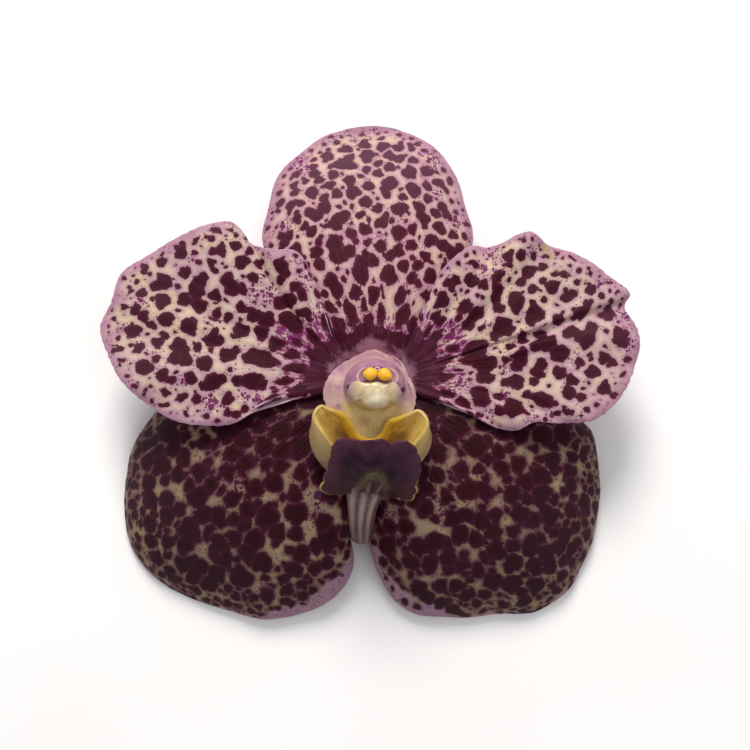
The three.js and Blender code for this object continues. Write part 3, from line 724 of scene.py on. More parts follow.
def grid_faces(columns, rows):
    """Quads of a grid whose points run row by row within each column."""
    column, row = np.meshgrid(np.arange(columns - 1), np.arange(rows - 1), indexing="ij")
    first = column * rows + row
    beside = first + rows
    return np.stack([corner.ravel() for corner in (first, first + 1, beside + 1, beside)], axis=1)


def shifted(values, columns, rows):
    """A grid moved by whole cells, with its border repeated."""
    column = np.clip(np.arange(values.shape[0]) + columns, 0, values.shape[0] - 1)
    row = np.clip(np.arange(values.shape[1]) + rows, 0, values.shape[1] - 1)
    return values[column][:, row]


def grid_normals(grid):
    across = shifted(grid, 1, 0) - shifted(grid, -1, 0)
    outward = shifted(grid, 0, 1) - shifted(grid, 0, -1)
    spread = np.cross(across, outward)
    total = np.zeros_like(spread)
    for column in range(-NORMAL_COLUMNS, NORMAL_COLUMNS + 1, 2):
        for row in range(-NORMAL_ROWS, NORMAL_ROWS + 1):
            total += shifted(spread, column, row)
    return unit(total)


def blade_grid(blade, columns, rows):
    """The frame's blade made much finer, with its veins as columns of points."""
    share = np.linspace(0, 1, columns + 1)
    rim = evenly_along(blade["margin"], columns)
    claw = np.asarray(blade["claw"], float)
    starts = claw[0] + (claw[1] - claw[0]) * share[:, None]
    reach = np.hypot(*(rim[:, :2] - starts).T)
    step = np.linspace(0, 1, rows + 1)
    edge = blade["edge"]
    if edge:
        out = np.sin((1 - (1 - step) ** ROLLED_CLUSTER) * math.pi / 2)
        fallen = 1 - (1 - out**2) ** (edge / 2)
    else:
        out = 1 - (1 - step) ** MARGIN_CLUSTER
        fallen = out
    middle = 4 * out * (1 - out)
    bow = VEIN_BOW * np.sin(TAU * share)[:, None] * middle
    run = rim[:, None, :2] - starts[:, None]
    plan = starts[:, None] + run * out[None, :, None]
    plan = plan + bow[..., None] * np.stack([run[..., 1], -run[..., 0]], axis=2)
    height = blade["height"]
    straight = height + (rim[:, 2:] - height) * fallen
    arched = blade["arch"] * middle * (reach / reach.max())[:, None]
    return np.concatenate([plan, (straight + arched)[..., None]], axis=2)


def lengths_from(grid, axis):
    """How far each point of a grid lies along its column or row, from the first one."""
    steps = np.linalg.norm(np.diff(grid, axis=axis), axis=2)
    first = np.zeros_like(np.take(steps, [0], axis=axis))
    return np.cumsum(np.concatenate([first, steps], axis=axis), axis=axis)


def blade_measures(grid):
    """Distances along the surface: out from the claw, in from the margin, and in from any edge."""
    along = lengths_from(grid, 1)
    inward = along[:, -1:] - along
    across = lengths_from(grid, 0)
    aside = np.minimum(across, across[-1:] - across)
    return along, inward, np.minimum(inward, aside)


def flat_places(across, along):
    """Places in a flat pattern, for noise that is drawn out in one direction."""
    return np.stack([np.broadcast_to(across, along.shape), along, along * 0], axis=2)


def vein_places(along):
    share = np.linspace(0, 1, len(along))[:, None]
    return flat_places(share * VEIN_COUNT, along)


def lifted(grid, lift):
    """A blade moved out along its normals."""
    return grid + grid_normals(grid) * lift[..., None]


def pushed_out(grid, push):
    """A blade moved outwards across its margin."""
    outward = unit(grid[:, -1] - grid[:, -3])
    return grid + outward[:, None] * push[..., None]


def sheet_sides(grid, edge_distance, thickness, lowest):
    """Front and back of a blade, thinner towards its margin and rounded over at its edge."""
    normals = grid_normals(grid)
    share = MARGIN_SHARE + (1 - MARGIN_SHARE) * smoothstep(edge_distance, 0, THINNING_REACH)
    depth = thickness * share
    half = depth / 2
    inside = np.clip(edge_distance / half, 0, 1)
    drop = half * (1 - np.sqrt(1 - (1 - inside) ** 2)) * EDGE_ROUNDING
    drop[:, 0] = 0
    front = grid - normals * drop[..., None]
    back = grid - normals * (depth - drop)[..., None]
    front[..., 2] = np.maximum(front[..., 2], lowest + thickness * MARGIN_SHARE)
    back[..., 2] = np.maximum(back[..., 2], lowest)
    return front, back


def sheet_object(name, front, back, material, attributes):
    columns, rows = front.shape[:2]
    count = columns * rows
    border = np.concatenate([
        np.arange(rows),
        np.arange(1, columns) * rows + rows - 1,
        (columns - 1) * rows + np.arange(rows - 2, -1, -1),
        np.arange(columns - 2, 0, -1) * rows,
    ])
    following = np.roll(border, -1)
    edge = np.stack([border, border + count, following + count, following], axis=1)
    faces = grid_faces(columns, rows)
    whole = np.concatenate([faces[:, ::-1], faces + count, edge[:, ::-1]])
    points = np.concatenate([front.reshape(-1, 3), back.reshape(-1, 3)])
    both = {"face": np.repeat([1.0, 0.0], count)}
    for key, values in attributes.items():
        flat = values.reshape(count, -1).squeeze()
        both[key] = np.concatenate([flat, flat])
    return mesh_object(name, points, whole.tolist(), material, both)


def volume_inside(points, triangles):
    """The volume that triangles close in, below zero where they face inwards."""
    first, second, third = (points[triangles[:, corner]] for corner in range(3))
    return np.einsum("ij,ij->", first, np.cross(second, third)) / 6


def ring_object(name, rings, start, end, material, attributes):
    """A closed body through rings of points, from one end point to the other. Each attribute
    has a value for each ring's points, and the ends take the mean of the ring beside them."""
    count, sides = rings.shape[:2]
    points = np.concatenate([[start], rings.reshape(-1, 3), [end]])
    side = np.arange(sides)
    beside = (side + 1) % sides
    tail = 1 + (count - 1) * sides
    first = np.stack([side * 0, 1 + side, 1 + beside], axis=1)
    last = np.stack([side * 0 + len(points) - 1, tail + beside, tail + side], axis=1)
    ring = np.arange(count - 1)[:, None] * sides + 1
    quads = np.stack([ring + side, ring + sides + side, ring + sides + beside, ring + beside], axis=2)
    quads = quads.reshape(-1, 4)
    faces = first.tolist() + last.tolist() + quads.tolist()
    if volume_inside(points, np.concatenate([first, last, quads[:, :3], quads[:, [0, 2, 3]]])) < 0:
        faces = [face[::-1] for face in faces]
    whole = {}
    for key, values in attributes.items():
        flat = values.reshape(count, sides, -1)
        ends = [flat[0].mean(axis=0), flat[-1].mean(axis=0)]
        flat = np.concatenate([ends[:1], flat.reshape(count * sides, -1), ends[1:]])
        whole[key] = flat.squeeze()
    return mesh_object(name, points, faces, material, whole)


def tube_rings(stations, side, count, sides, swell):
    """Rings square to a centre line that bends in one upright plane, with the outline's swelling
    as a function of the angle. Each station is x, y, height, half width and half depth."""
    shares = np.linspace(0, 1, count)
    middle = smooth_through(stations, False, shares)
    ahead = smooth_through(stations, False, np.clip(shares + TANGENT_SHARE, 0, 1))[:, :3]
    behind = smooth_through(stations, False, np.clip(shares - TANGENT_SHARE, 0, 1))[:, :3]
    depth = unit(np.cross(unit(ahead - behind), side))
    angle = turns(sides) * TAU
    outline = swell(angle, shares[:, None])
    wide = middle[:, 3:4] * np.cos(angle) * outline
    deep = middle[:, 4:5] * np.sin(angle) * outline
    return middle[:, None, :3] + wide[..., None] * side + deep[..., None] * depth[:, None]


# Markings
def near_pixels(points, places):
    """From 1 in the middle of the nearest place, given in pixels, to 0 past its radius."""
    x, y = seen_at(points)
    share = np.zeros(x.shape)
    for place_x, place_y, radius in places:
        share = np.maximum(share, 1 - np.hypot(x - place_x, y - place_y) / radius)
    return np.clip(share, 0, 1)


def spot_places(rng, grid, inward, along, freckle, marking):
    """Each spot's place, radius and group: first the blotches that the photograph shows, then a
    scatter by rule. Spots of one group run together, and others keep a gap."""
    points = grid.reshape(-1, 3)
    x, y = seen_at(points)
    places, radii, groups = [], [], []

    def add(*spot):
        for values, value in zip((places, radii, groups), spot):
            values.append(value)

    def place_at(pixel_x, pixel_y):
        return int(np.argmin(np.hypot(x - pixel_x, y - pixel_y)))

    def reach_from(place, radius):
        """How far off the other spots are, as a share of both radii together."""
        return np.linalg.norm(points[places] - points[place], axis=1) / (np.array(radii) + radius)

    for pixel_x, pixel_y, size in marking["blotches"]:
        place = place_at(pixel_x, pixel_y)
        radius = size / PIXELS_PER_MM
        group = len(groups)
        if places:
            reach = reach_from(place, radius)
            nearest = int(np.argmin(reach))
            group = groups[nearest] if reach[nearest] < BLOTCH_TOUCH else group
        add(place, radius, group)
    for pixel_x, pixel_y, size in marking.get("pale", []):
        add(place_at(pixel_x, pixel_y), PALE_SHARE * size / PIXELS_PER_MM, PALE_GROUP)
    growth = smoothstep(inward, *SPOT_GROWTH)
    rule = (marking["radius"] * (MARGIN_SPOT + (1 - MARGIN_SPOT) * growth)).ravel()
    spacing = (marking["spacing"] + MARGIN_SPACING * (1 - growth)).ravel()
    barred = (inward < marking["rim"]) | (along < marking["base"]) | (freckle > FRECKLE_CORE)
    cells = np.linalg.norm(np.cross(np.gradient(grid, axis=0), np.gradient(grid, axis=1)), axis=2)
    chance = (cells * ~barred).ravel()
    for share, tries in SPOT_PASSES:
        for place in rng.choice(len(points), size=tries, p=chance / chance.sum()):
            radius = rule[place] * share * rng.uniform(*SPOT_SIZES)
            joins = rng.random() < marking["merge"]
            group = len(groups)
            if places:
                reach = reach_from(place, radius)
                touched = {groups[near] for near in np.flatnonzero(reach < spacing[place])}
                if touched:
                    group = touched.pop()
                    crowded = touched or group == PALE_GROUP or groups.count(group) >= LARGEST_GROUP
                    if crowded or not joins or reach.min() < MERGE_NEAREST:
                        continue
            add(place, radius, group)
    return [spot for spot in zip(places, radii, groups) if spot[2] != PALE_GROUP]


def spot_field(rng, grid, along, gap, spots):
    """How far each point lies outside the nearest spot, in millimetres, and negative inside it.
    Where two groups press on each other, a gap of ground stays between them."""
    warp = np.stack([wave_noise(rng, grid, SPOT_WARP_SIZE) for _ in range(3)], axis=2)
    points = (grid + SPOT_WARP * warp).reshape(-1, 3)
    rows = grid.shape[1]
    along = along.ravel()
    nearest = np.full(len(points), SPOT_FAR)
    second = np.full(len(points), SPOT_FAR)
    owner = np.full(len(points), -1)
    for place, radius, group in spots:
        column, row = divmod(place, rows)
        outward = unit(grid[column, min(row + 1, rows - 1)] - grid[column, max(row - 1, 0)])
        longer = rng.uniform(*SPOT_LENGTHS) + CLAW_STRETCH * smoothstep(along[place], *STRETCH_REACH)
        wider = 1 / math.sqrt(longer)
        phases = rng.uniform(0, TAU, len(SPOT_LOBES))
        offset = points - points[place]
        reached = np.flatnonzero(np.einsum("ij,ij->i", offset, offset) < (3 * radius + 1) ** 2)
        offset = offset[reached]
        outwards = offset @ outward
        beside = np.linalg.norm(offset - outwards[:, None] * outward, axis=1)
        left = offset @ np.cross(outward, UP) < 0
        growth = longer ** LONG_SPOT_GROWTH
        outwards, beside = outwards * wider / growth, beside / wider / growth
        angle = np.arctan2(np.where(left, -beside, beside), outwards)
        lobes = zip(SPOT_LOBES, phases)
        bumps = sum((size * np.cos(count * angle + phase) for (count, size), phase in lobes), start=1)
        outside = np.hypot(outwards, beside) - radius * bumps
        first, other = nearest[reached], second[reached]
        same = owner[reached] == group
        closer = ~same & (outside < first)
        melted = -SPOT_MELT * np.logaddexp(-first / SPOT_MELT, -outside / SPOT_MELT)
        second[reached] = np.where(same, other, np.where(closer, first, np.minimum(other, outside)))
        nearest[reached] = np.where(same, melted, np.minimum(first, outside))
        owner[reached] = np.where(closer, group, owner[reached])
    pressed = (nearest - second) / 2 + gap.ravel() / 2
    field = CORNER_ROUNDING * np.logaddexp(nearest / CORNER_ROUNDING, pressed / CORNER_ROUNDING)
    return field.reshape(grid.shape[:2])


# Materials
def linear(code):
    """A colour from its six hexadecimal digits, as a shader takes it."""
    parts = [int(code[start:start + 2], 16) / 255 for start in (0, 2, 4)]
    offset = CURVE_OFFSET
    curved = [((part + offset) / (1 + offset)) ** CURVE_POWER for part in parts]
    straight = [part / CURVE_FOOT_SLOPE for part in parts]
    chosen = [low if part <= CURVE_FOOT else high for part, low, high in zip(parts, straight, curved)]
    return (*chosen, 1.0)


class Shader:
    """A material's node tree, built by calls that return sockets. Lengths are millimetres."""

    def __init__(self, name):
        self.material = bpy.data.materials.new(name)
        self.material.use_nodes = True
        self.tree = self.material.node_tree
        self.surface = self.tree.nodes["Principled BSDF"]
        place = self.node("TexCoord").outputs["Object"]
        self.place = self.scaled(place, (1 / MM,) * 3)

    def node(self, kind, inputs=None, **settings):
        made = self.tree.nodes.new("ShaderNode" + kind)
        for key, value in settings.items():
            setattr(made, key, value)
        for key, value in (inputs or {}).items():
            self.feed(made.inputs[key], value)
        return made

    def feed(self, socket, value):
        if isinstance(value, bpy.types.NodeSocket):
            self.tree.links.new(value, socket)
        else:
            socket.default_value = value

    def attribute(self, name, output="Fac"):
        return self.node("Attribute", attribute_name=name).outputs[output]

    def math(self, operation, first, second=0.0):
        return self.node("Math", {0: first, 1: second}, operation=operation).outputs[0]

    def add(self, *values):
        return functools.reduce(lambda first, second: self.math("ADD", first, second), values)

    def times(self, *values):
        return functools.reduce(lambda first, second: self.math("MULTIPLY", first, second), values)

    def scaled(self, place, scale):
        return self.node("VectorMath", {0: place, 1: scale}, operation="MULTIPLY").outputs[0]

    def noise(self, size, detail=2.0, place=None):
        """Noise from 0 to 1 with bumps of about that size."""
        inputs = {"Vector": place or self.place, "Scale": 1 / size, "Detail": detail}
        return self.node("TexNoise", inputs).outputs["Fac"]

    def veins(self, across, along, detail=2.0):
        """Noise drawn out along a blade's veins."""
        return self.noise(1.0, detail, self.scaled(self.attribute("vein", "Vector"), (across, along, 1.0)))

    def dots(self, size, reach):
        """Round dots of uneven sizes, one to a cell of that size and as wide as reach allows."""
        cells = self.node("TexVoronoi", {"Vector": self.place, "Scale": 1 / size})
        random = self.node("SeparateColor", {"Color": cells.outputs["Color"]}).outputs[0]
        outside = self.math("SUBTRACT", cells.outputs["Distance"], self.times(random, reach))
        return self.step(outside, 0.05, -0.05)

    def swing(self, noise, size):
        """Noise moved to lie round 0, as far as size on both sides."""
        return self.times(self.math("SUBTRACT", noise, 0.5), 2 * size)

    def step(self, value, low, high):
        """0 below low and 1 above high, or the other way round where low is the larger."""
        inputs = {"Value": value, "From Min": low, "From Max": high}
        return self.node("MapRange", inputs, interpolation_type="SMOOTHSTEP").outputs[0]

    def patches(self, size, low, high, detail=3.0):
        """Soft patches of about that size: 0 where the noise is below low and 1 above high."""
        return self.step(self.noise(size, detail), low, high)

    def mix(self, share, first, second):
        first, second = (linear(c) if isinstance(c, str) else c for c in (first, second))
        made = self.node("Mix", data_type="RGBA")
        for index, value in zip(MIX_SOCKETS, (share, first, second)):
            self.feed(made.inputs[index], value)
        return made.outputs[2]

    def layers(self, colour, *layers):
        """A colour under layers. Each layer is a colour and shares that are multiplied into how much
        of it shows, and each share is a socket, a number or the name of an attribute."""
        for over, *shares in layers:
            shares = [self.attribute(share) if isinstance(share, str) else share for share in shares]
            colour = self.mix(self.times(*shares), colour, over)
        return colour

    def finish(self, colour, roughness, height, depth, **fixed):
        """Links colour, roughness and relief of a depth, and sets what is even all over."""
        self.feed(self.surface.inputs["Base Color"], colour)
        self.feed(self.surface.inputs["Roughness"], roughness)
        bump = self.node("Bump", {"Height": height, "Distance": depth * MM, "Strength": 1.0})
        self.feed(self.surface.inputs["Normal"], bump.outputs[0])
        for key, value in fixed.items():
            self.surface.inputs[key.replace("_", " ")].default_value = value
        return self.material

    def tissue(self, colour, grain, rough, depth, glow, gloss, height=None, **fixed):
        """Living tissue. Rough is its base and the grain's share, and glow is how much light it
        scatters, how far red, green and blue go beside each other, and that distance."""
        (base, share), (weight, ratio, distance) = rough, glow
        return self.finish(
            colour, self.add(self.times(grain, share), base), height or grain, depth,
            Subsurface_Weight=weight, Subsurface_Radius=ratio, Subsurface_Scale=distance * MM,
            Specular_IOR_Level=gloss, **fixed,
        )


def tepal_material(name, look):
    s = Shader(name)
    inward, along, freckle, streak = map(s.attribute, ("inward", "along", "freckle", "streak"))

    # Ragged edges of the spots
    ragged = s.add(s.swing(s.noise(0.8, 3.0), look["ragged"]), s.swing(s.noise(0.22, 3.0), 0.17))
    edge = s.add(s.attribute("spot"), ragged, s.swing(s.noise(3.0, 1.0), look["closing"]))

    # Ground
    rim = s.add(inward, s.times(s.attribute("lilac"), -LILAC_REACH), s.swing(s.noise(1.8, 3.0), 1.6))
    rim = s.step(rim, look["rim_width"], look["rim_width"] * 0.1)
    ground = s.layers(
        look["ground"],
        (look["ground_deep"], s.patches(7.0, 0.37, 0.56)),
        (look["blush"], s.patches(2.2, 0.42, 0.66, 4.0), look["blush_share"]),
        (look["open"], s.step(edge, 0.15, 0.60), look["open_share"]),
        (look["rim"], rim),
        (look["halo"], s.step(edge, look["halo_width"], 0.0), look["halo_share"]),
        (look["bruise"], s.step(s.attribute("bruise"), 0.1, 0.6), 0.75),
    )

    # Freckles, dust, and streaks that run along the veins near the claw
    cloud = s.times(freckle, s.patches(1.8, 0.22, 0.50))
    haze = s.math("MAXIMUM", cloud, s.times(s.step(streak, 0.15, 0.7), 0.9))
    freckles = s.math("MAXIMUM", s.dots(0.36, cloud), s.dots(0.80, s.times(cloud, 0.72)))
    freckles = s.times(freckles, s.step(freckle, 0.02, 0.2), 0.95)
    dusty = s.math("MAXIMUM", s.patches(3.0, 0.44, 0.60, 1.0), s.times(rim, 0.8))
    dust = s.times(s.dots(0.34, s.times(dusty, look["dust"])), 0.75)
    streaks = s.step(s.add(s.veins(1.5, 0.9, 4.0), s.times(streak, 0.17)), 0.58, 0.65)

    # Spots, deeper in their middles, and greyer out towards the tip as a painted sheen
    spots = s.layers(
        look["spot_edge"],
        (look["spot"], s.step(edge, -0.05, -0.5)),
        (look["spot_light"], s.patches(0.5, 0.4, 0.75)),
        (look["spot_sheen"], s.step(along, 14.0, 32.0), look["sheen_share"]),
    )

    # The claw: solid colour crossed by fine pale veins
    reach = look["claw_reach"]
    fringe = s.add(s.swing(s.veins(0.35, 0.3, 3.0), 2.2), s.swing(s.noise(1.5, 3.0), 3.2))
    claw = s.step(s.add(along, fringe), reach + 0.35, reach - 0.25)
    reach = look["root_reach"]
    drift = s.add(s.swing(s.veins(0.9, 0.4, 3.0), 0.6), s.swing(s.noise(0.9, 3.0), 2.0))
    root = s.step(s.add(s.attribute("root"), drift), reach + 1.3, reach - 0.9)
    claw_colour = s.layers(
        look["claw"],
        (look["hair"], s.step(s.veins(2.2, 0.35), 0.45, 0.75), s.patches(2.0, 0.35, 0.65, 2.0), 0.5),
        (look["root"], root, 0.68),
    )
    front = s.layers(
        ground,
        (look["haze"], haze, s.patches(0.9, 0.3, 0.6), look["haze_share"]),
        (look["freckle"], s.math("MAXIMUM", freckles, dust)),
        (look["smear"], streaks, s.step(streak, 0.02, 0.25), 0.92),
        (spots, s.step(edge, 0.05, -0.05)),
        (claw_colour, claw),
        # A paler line along the margin: a painted highlight
        (look["edge"], s.step(inward, 0.28, 0.02), 0.45),
    )

    # Back: paler, with its veins and a shadow of the spots
    back = s.layers(
        look["back"],
        (look["back_vein"], s.step(s.veins(1.1, 0.12), 0.5, 0.62)),
        (look["back_spot"], s.step(edge, 0.3, -0.4), 0.38),
    )
    colour = s.mix(s.step(s.attribute("face"), 0.4, 0.6), back, front)

    grain = s.noise(0.14)
    ridges = s.times(s.veins(1.5, 0.10), s.step(along, 6.0, 18.0), 0.8)
    height = s.add(s.times(grain, 0.6), ridges)
    return s.tissue(colour, grain, (0.42, 0.2), 0.05, (0.10, (1.0, 0.45, 0.35), 0.5), 0.06, height)


# In each look, the far spot colour and its share are a painted sheen that greys the spots towards the tip,
# and the edge colour is a painted highlight along the margin
PETAL_LOOK = {
    "ground": "c2aa92", "ground_deep": "b89a98", "blush": "a97d93", "blush_share": 0.6,
    "rim": "a87d91", "rim_width": 2.2, "halo": "8f4a6e", "halo_share": 0.35, "halo_width": 0.35,
    "freckle": "641c46", "spot": "340b17", "spot_edge": "4b142b", "spot_light": "40101e",
    "spot_sheen": "57303f", "sheen_share": 0.35, "ragged": 0.09, "closing": 0.03, "dust": 0.50,
    "claw": "441628", "hair": "73465c", "claw_reach": 4.9, "edge": "ccb0bc",
    "root": "a07486", "root_reach": 0.8, "root_pale": 1.9, "bruise": "a08a5e",
    "open": "cdb89e", "open_share": 0.5, "smear": "6f1850", "haze": "92508a", "haze_share": 0.65,
    "back": "c4a6b4", "back_vein": "ad869a", "back_spot": "7a4a64",
}
DORSAL_LOOK = dict(
    PETAL_LOOK, ground="c0a08e", ground_deep="b69290", rim_width=3.2, rim="a67c8e",
    spot="3c0f1c", spot_edge="50182f", spot_light="461324", spot_sheen="5c3848", sheen_share=0.75,
    claw="3e0e1e", claw_reach=4.3, root="9c687a", root_pale=2.7,
)
LATERAL_LOOK = dict(
    PETAL_LOOK, ground="806d54", ground_deep="6d5547", blush="65404a", blush_share=0.45,
    rim="93707f", rim_width=1.7, halo="4a1e33", halo_share=0.75, halo_width=0.30,
    freckle="451230", spot="27070e", spot_edge="3d0f22", spot_light="320a16",
    spot_sheen="322028", sheen_share=0.5, open="94826a", smear="451230", haze="5a3346",
    haze_share=0.45, ragged=0.26, closing=0.14, dust=0.54, claw="2a0812", claw_reach=4.6,
    edge="a98a98", root="4a2030",
)


def fold_lift(grid):
    """The sharp fold across the right petal: a valley with a ridge beside it."""
    run, beside, length = along_line(*seen_at(grid), FOLD_ENDS)
    beside = beside / PIXELS_PER_MM - FOLD_BEND * np.sin(np.clip(run / length, 0, 1) * math.pi)
    fade = smoothstep(run, -FOLD_BEFORE, length * FOLD_DEEPENS)
    fade = fade * smoothstep(run, length + FOLD_BEYOND, length - FOLD_ENDING)
    ridge = FOLD_RIDGE * bell(beside + FOLD_RIDGE_BESIDE, FOLD_RIDGE_WIDTH)
    return FOLD_DEPTH * fade * (ridge - bell(beside, FOLD_WIDTH))


def tepal_grid(name, slot, rng):
    """A tepal's blade with the waves of its margin, soft dents, veins and a groove down the middle."""
    grid = blade_grid(TEPALS[name], BLADE_COLUMNS, BLADE_ROWS)
    along, inward, _ = blade_measures(grid)
    share = np.linspace(0, 1, BLADE_COLUMNS + 1)[:, None]
    lift = DENT_DEPTH * wave_noise(rng, grid, DENT_SIZE) * smoothstep(along, *DENTS_FROM)
    for count, size, reach in MARGIN_WAVES[name]:
        phase = rng.uniform(0, TAU)
        wander = waves(share, (*WAVE_WANDER, phase))
        wave = size * np.sin(TAU * count * share + wander + phase) * np.exp(-inward / reach)
        lift += wave * smoothstep(along, *WAVES_FROM)
    ripples = waves(share, (1, VEIN_RIPPLES, waves(share, VEIN_WANDER)))
    lift += VEIN_RELIEF * ripples * smoothstep(along, *VEINS_FROM)
    lift -= GROOVE_DEPTH * bell(share - 0.5, GROOVE_SHARE) * smoothstep(along, *GROOVE_FROM)
    lift -= MARGIN_CURL[slot] * np.exp(-inward / CURL_REACH)
    if name == "petal_right":
        lift += fold_lift(grid)
    grid = lifted(grid, lift)
    fine = [(1, cycles, rng.uniform(0, TAU)) for cycles in rng.uniform(*RAGGED_CYCLES)]
    return pushed_out(grid, RAGGED_MARGIN[slot] * waves(share, *fine) * np.exp(-inward / RAGGED_REACH))


def make_tepal(name, look, slot):
    marking = MARKINGS[name]
    rng = np.random.default_rng(marking["seed"])
    grid = tepal_grid(name, slot, rng)
    along, inward, edge_distance = blade_measures(grid)
    front, back = sheet_sides(grid, edge_distance, BLADE_THICKNESS, RESTING_HEIGHT)

    def marked(key):
        return near_pixels(grid, marking.get(key, []))

    freckle = marked("freckles") ** FRECKLE_FALLOFF
    lilac = marked("lilac")
    spots = spot_places(rng, grid, inward - LILAC_REACH * lilac, along, freckle, marking)
    wide, narrow = marking["gap"]
    gap = wide + (narrow - wide) * smoothstep(inward, *GAP_REACH)
    gap = gap * (1 + GAP_UNEVEN * wave_noise(rng, grid, GAP_UNEVEN_SIZE))
    near_claw = smoothstep(along, marking["streaks"], marking["base"] * STREAK_SHARE)
    attributes = {
        "spot": spot_field(rng, grid, along, gap, spots),
        "inward": inward,
        "along": along,
        "freckle": freckle,
        "streak": np.maximum(near_claw, marked("smears") ** SMEAR_FALLOFF),
        "bruise": marked("bruises"),
        "lilac": lilac,
        "root": along - look["root_pale"] * marked("roots"),
        "vein": vein_places(along),
    }
    piece = sheet_object(name + "_bloom", front, back, tepal_material(name, look), attributes)
    dress(piece, slot, name)


# The lip
def cup_material():
    s = Shader("lip_cup")
    rimward = s.attribute("rimward")
    roll = s.attribute("roll")
    rolled = s.step(roll, 0.0, 0.5)
    radial = s.scaled(s.attribute("polar", "Vector"), (3.0, 0.2, 1.0))
    # The inside: its own gold, made paler to make up for the shade under the rolled rim, so in part
    # painted light
    inner = s.layers(
        "e8c46a",
        ("d2a855", s.patches(1.4, 0.35, 0.65)),
        ("8a5a34", s.step(rimward, 1.1, 2.2), rolled, s.patches(1.2, 0.25, 0.6), 0.7),
        ("805a34", s.step(rimward, 3.0, 5.5), 0.6),
        ("8a6030", s.step(s.noise(0.5, 3.0, radial), 0.55, 0.75), 0.3),
    )
    crest = s.math("ABSOLUTE", s.math("SUBTRACT", rimward, s.times(roll, 0.25)))
    crest = s.math("SUBTRACT", crest, s.times(roll, 0.75))
    crest = s.step(s.add(crest, s.swing(s.noise(0.8), 0.12)), 0.35, 0.02)
    colour = s.layers(
        "c8a868",
        ("a3855f", s.step(rimward, -0.2, -3.4)),
        ("6c4c50", s.step(s.attribute("height"), 13.8, 11.4), s.patches(1.3, 0.38, 0.56), 0.8),
        ("8a5a40", s.patches(0.5, 0.66, 0.74, 2.0), 0.35),
        (inner, s.step(rimward, -0.05, 0.2)),
        (s.mix(rolled, "c6ab66", "cd9f2c"), crest),
    )
    return s.tissue(colour, s.noise(0.12), (0.42, 0.15), 0.03, (0.2, (1.0, 0.7, 0.25), 0.8), 0.25)


def make_cup():
    around = turns(CUP_SIDES)
    rim = smooth_through(CUP_RIM, True, around)
    belly = smooth_through(CUP_BELLY, True, around)
    roll = smoothstep(np.cos(TAU * around), *CUP_ROLL_FADE)
    rim[:, 2] += waves(around, CUP_WAVES) * (1 - roll)

    def shrunk(ring, share, drop=0.0):
        moved = ring.copy()
        moved[:, :2] = CUP_FLOOR[:2] + (ring[:, :2] - CUP_FLOOR[:2]) * share
        moved[:, 2] -= drop
        return moved

    def inside(ring, drop=0.0):
        run = np.roll(ring, -CUP_WINDOW, axis=0) - np.roll(ring, CUP_WINDOW, axis=0)
        toward = unit(np.stack([run[:, 1], -run[:, 0]], axis=1)) * (CUP_WALL + CUP_ROLL * roll)[:, None]
        lower = ring[:, 2] - drop - CUP_SLOPE * roll
        return np.concatenate([ring[:, :2] + toward, lower[:, None]], axis=1)

    half = (rim + belly) / 2
    low = shrunk(belly, CUP_BOWL_SHARE, CUP_BOWL_DROP)
    first = CUP_FLOOR + (low - CUP_FLOOR) * CUP_FLOOR_SHARE
    outside = [first, low, belly, half, rim - UP * CUP_SHOULDER]
    crest = (rim + inside(rim)) / 2 + UP * CUP_CREST
    scoop = [shrunk(inside(half), *CUP_THROAT)]
    for share, above in CUP_SCOOP:
        ring = shrunk(belly, share)
        ring[:, 2] = CUP_INSIDE_Z + (ring[:, 2] - CUP_INSIDE_Z) * share + above
        scoop.append(ring)
    middle = shrunk(belly, CUP_MIDDLE_SHARE)
    middle[:, 2] = CUP_INSIDE_Z
    stations = [*outside, crest, inside(rim, CUP_SHOULDER), *scoop, middle]
    rings = rings_through(stations, CUP_ROWS_A_SPAN)
    along = lengths_from(rings, 0)
    attributes = {
        "rimward": along - along[len(outside) * CUP_ROWS_A_SPAN],
        "roll": np.broadcast_to(roll, along.shape),
        "height": rings[..., 2],
        "polar": flat_places(around * CUP_STREAKS, along),
    }
    end = middle.mean(axis=0)
    dress(ring_object("lip_cup", rings, CUP_FLOOR, end, cup_material(), attributes), "lip", "lip")


def midlobe_material():
    s = Shader("lip_midlobe")
    inward = s.attribute("inward")
    colour = s.layers(
        "532e3f",
        ("2d1824", s.step(inward, 0.1, 2.8)),
        ("462036", s.patches(1.1, 0.42, 0.68), 0.5),
        ("1d0e16", s.step(s.veins(0.5, 0.4), 0.5, 0.7), 0.4),
        ("40231f", "low", 0.7),
        ("9a8c56", "pale_edge", s.step(inward, 0.34, 0.08)),
        ("5c4e36", "arch", s.patches(0.6, 0.15, 0.6, 2.0)),
        ("6c5a58", "keel", 0.8),
        ("33141f", "groove", s.patches(0.35, 0.35, 0.5, 2.0)),
    )
    grain = s.noise(0.16)
    height = s.add(grain, s.noise(0.6, 3.0))
    return s.tissue(colour, grain, (0.42, 0.2), 0.06, (0.08, (1.0, 0.4, 0.5), 0.5), 0.10, height)


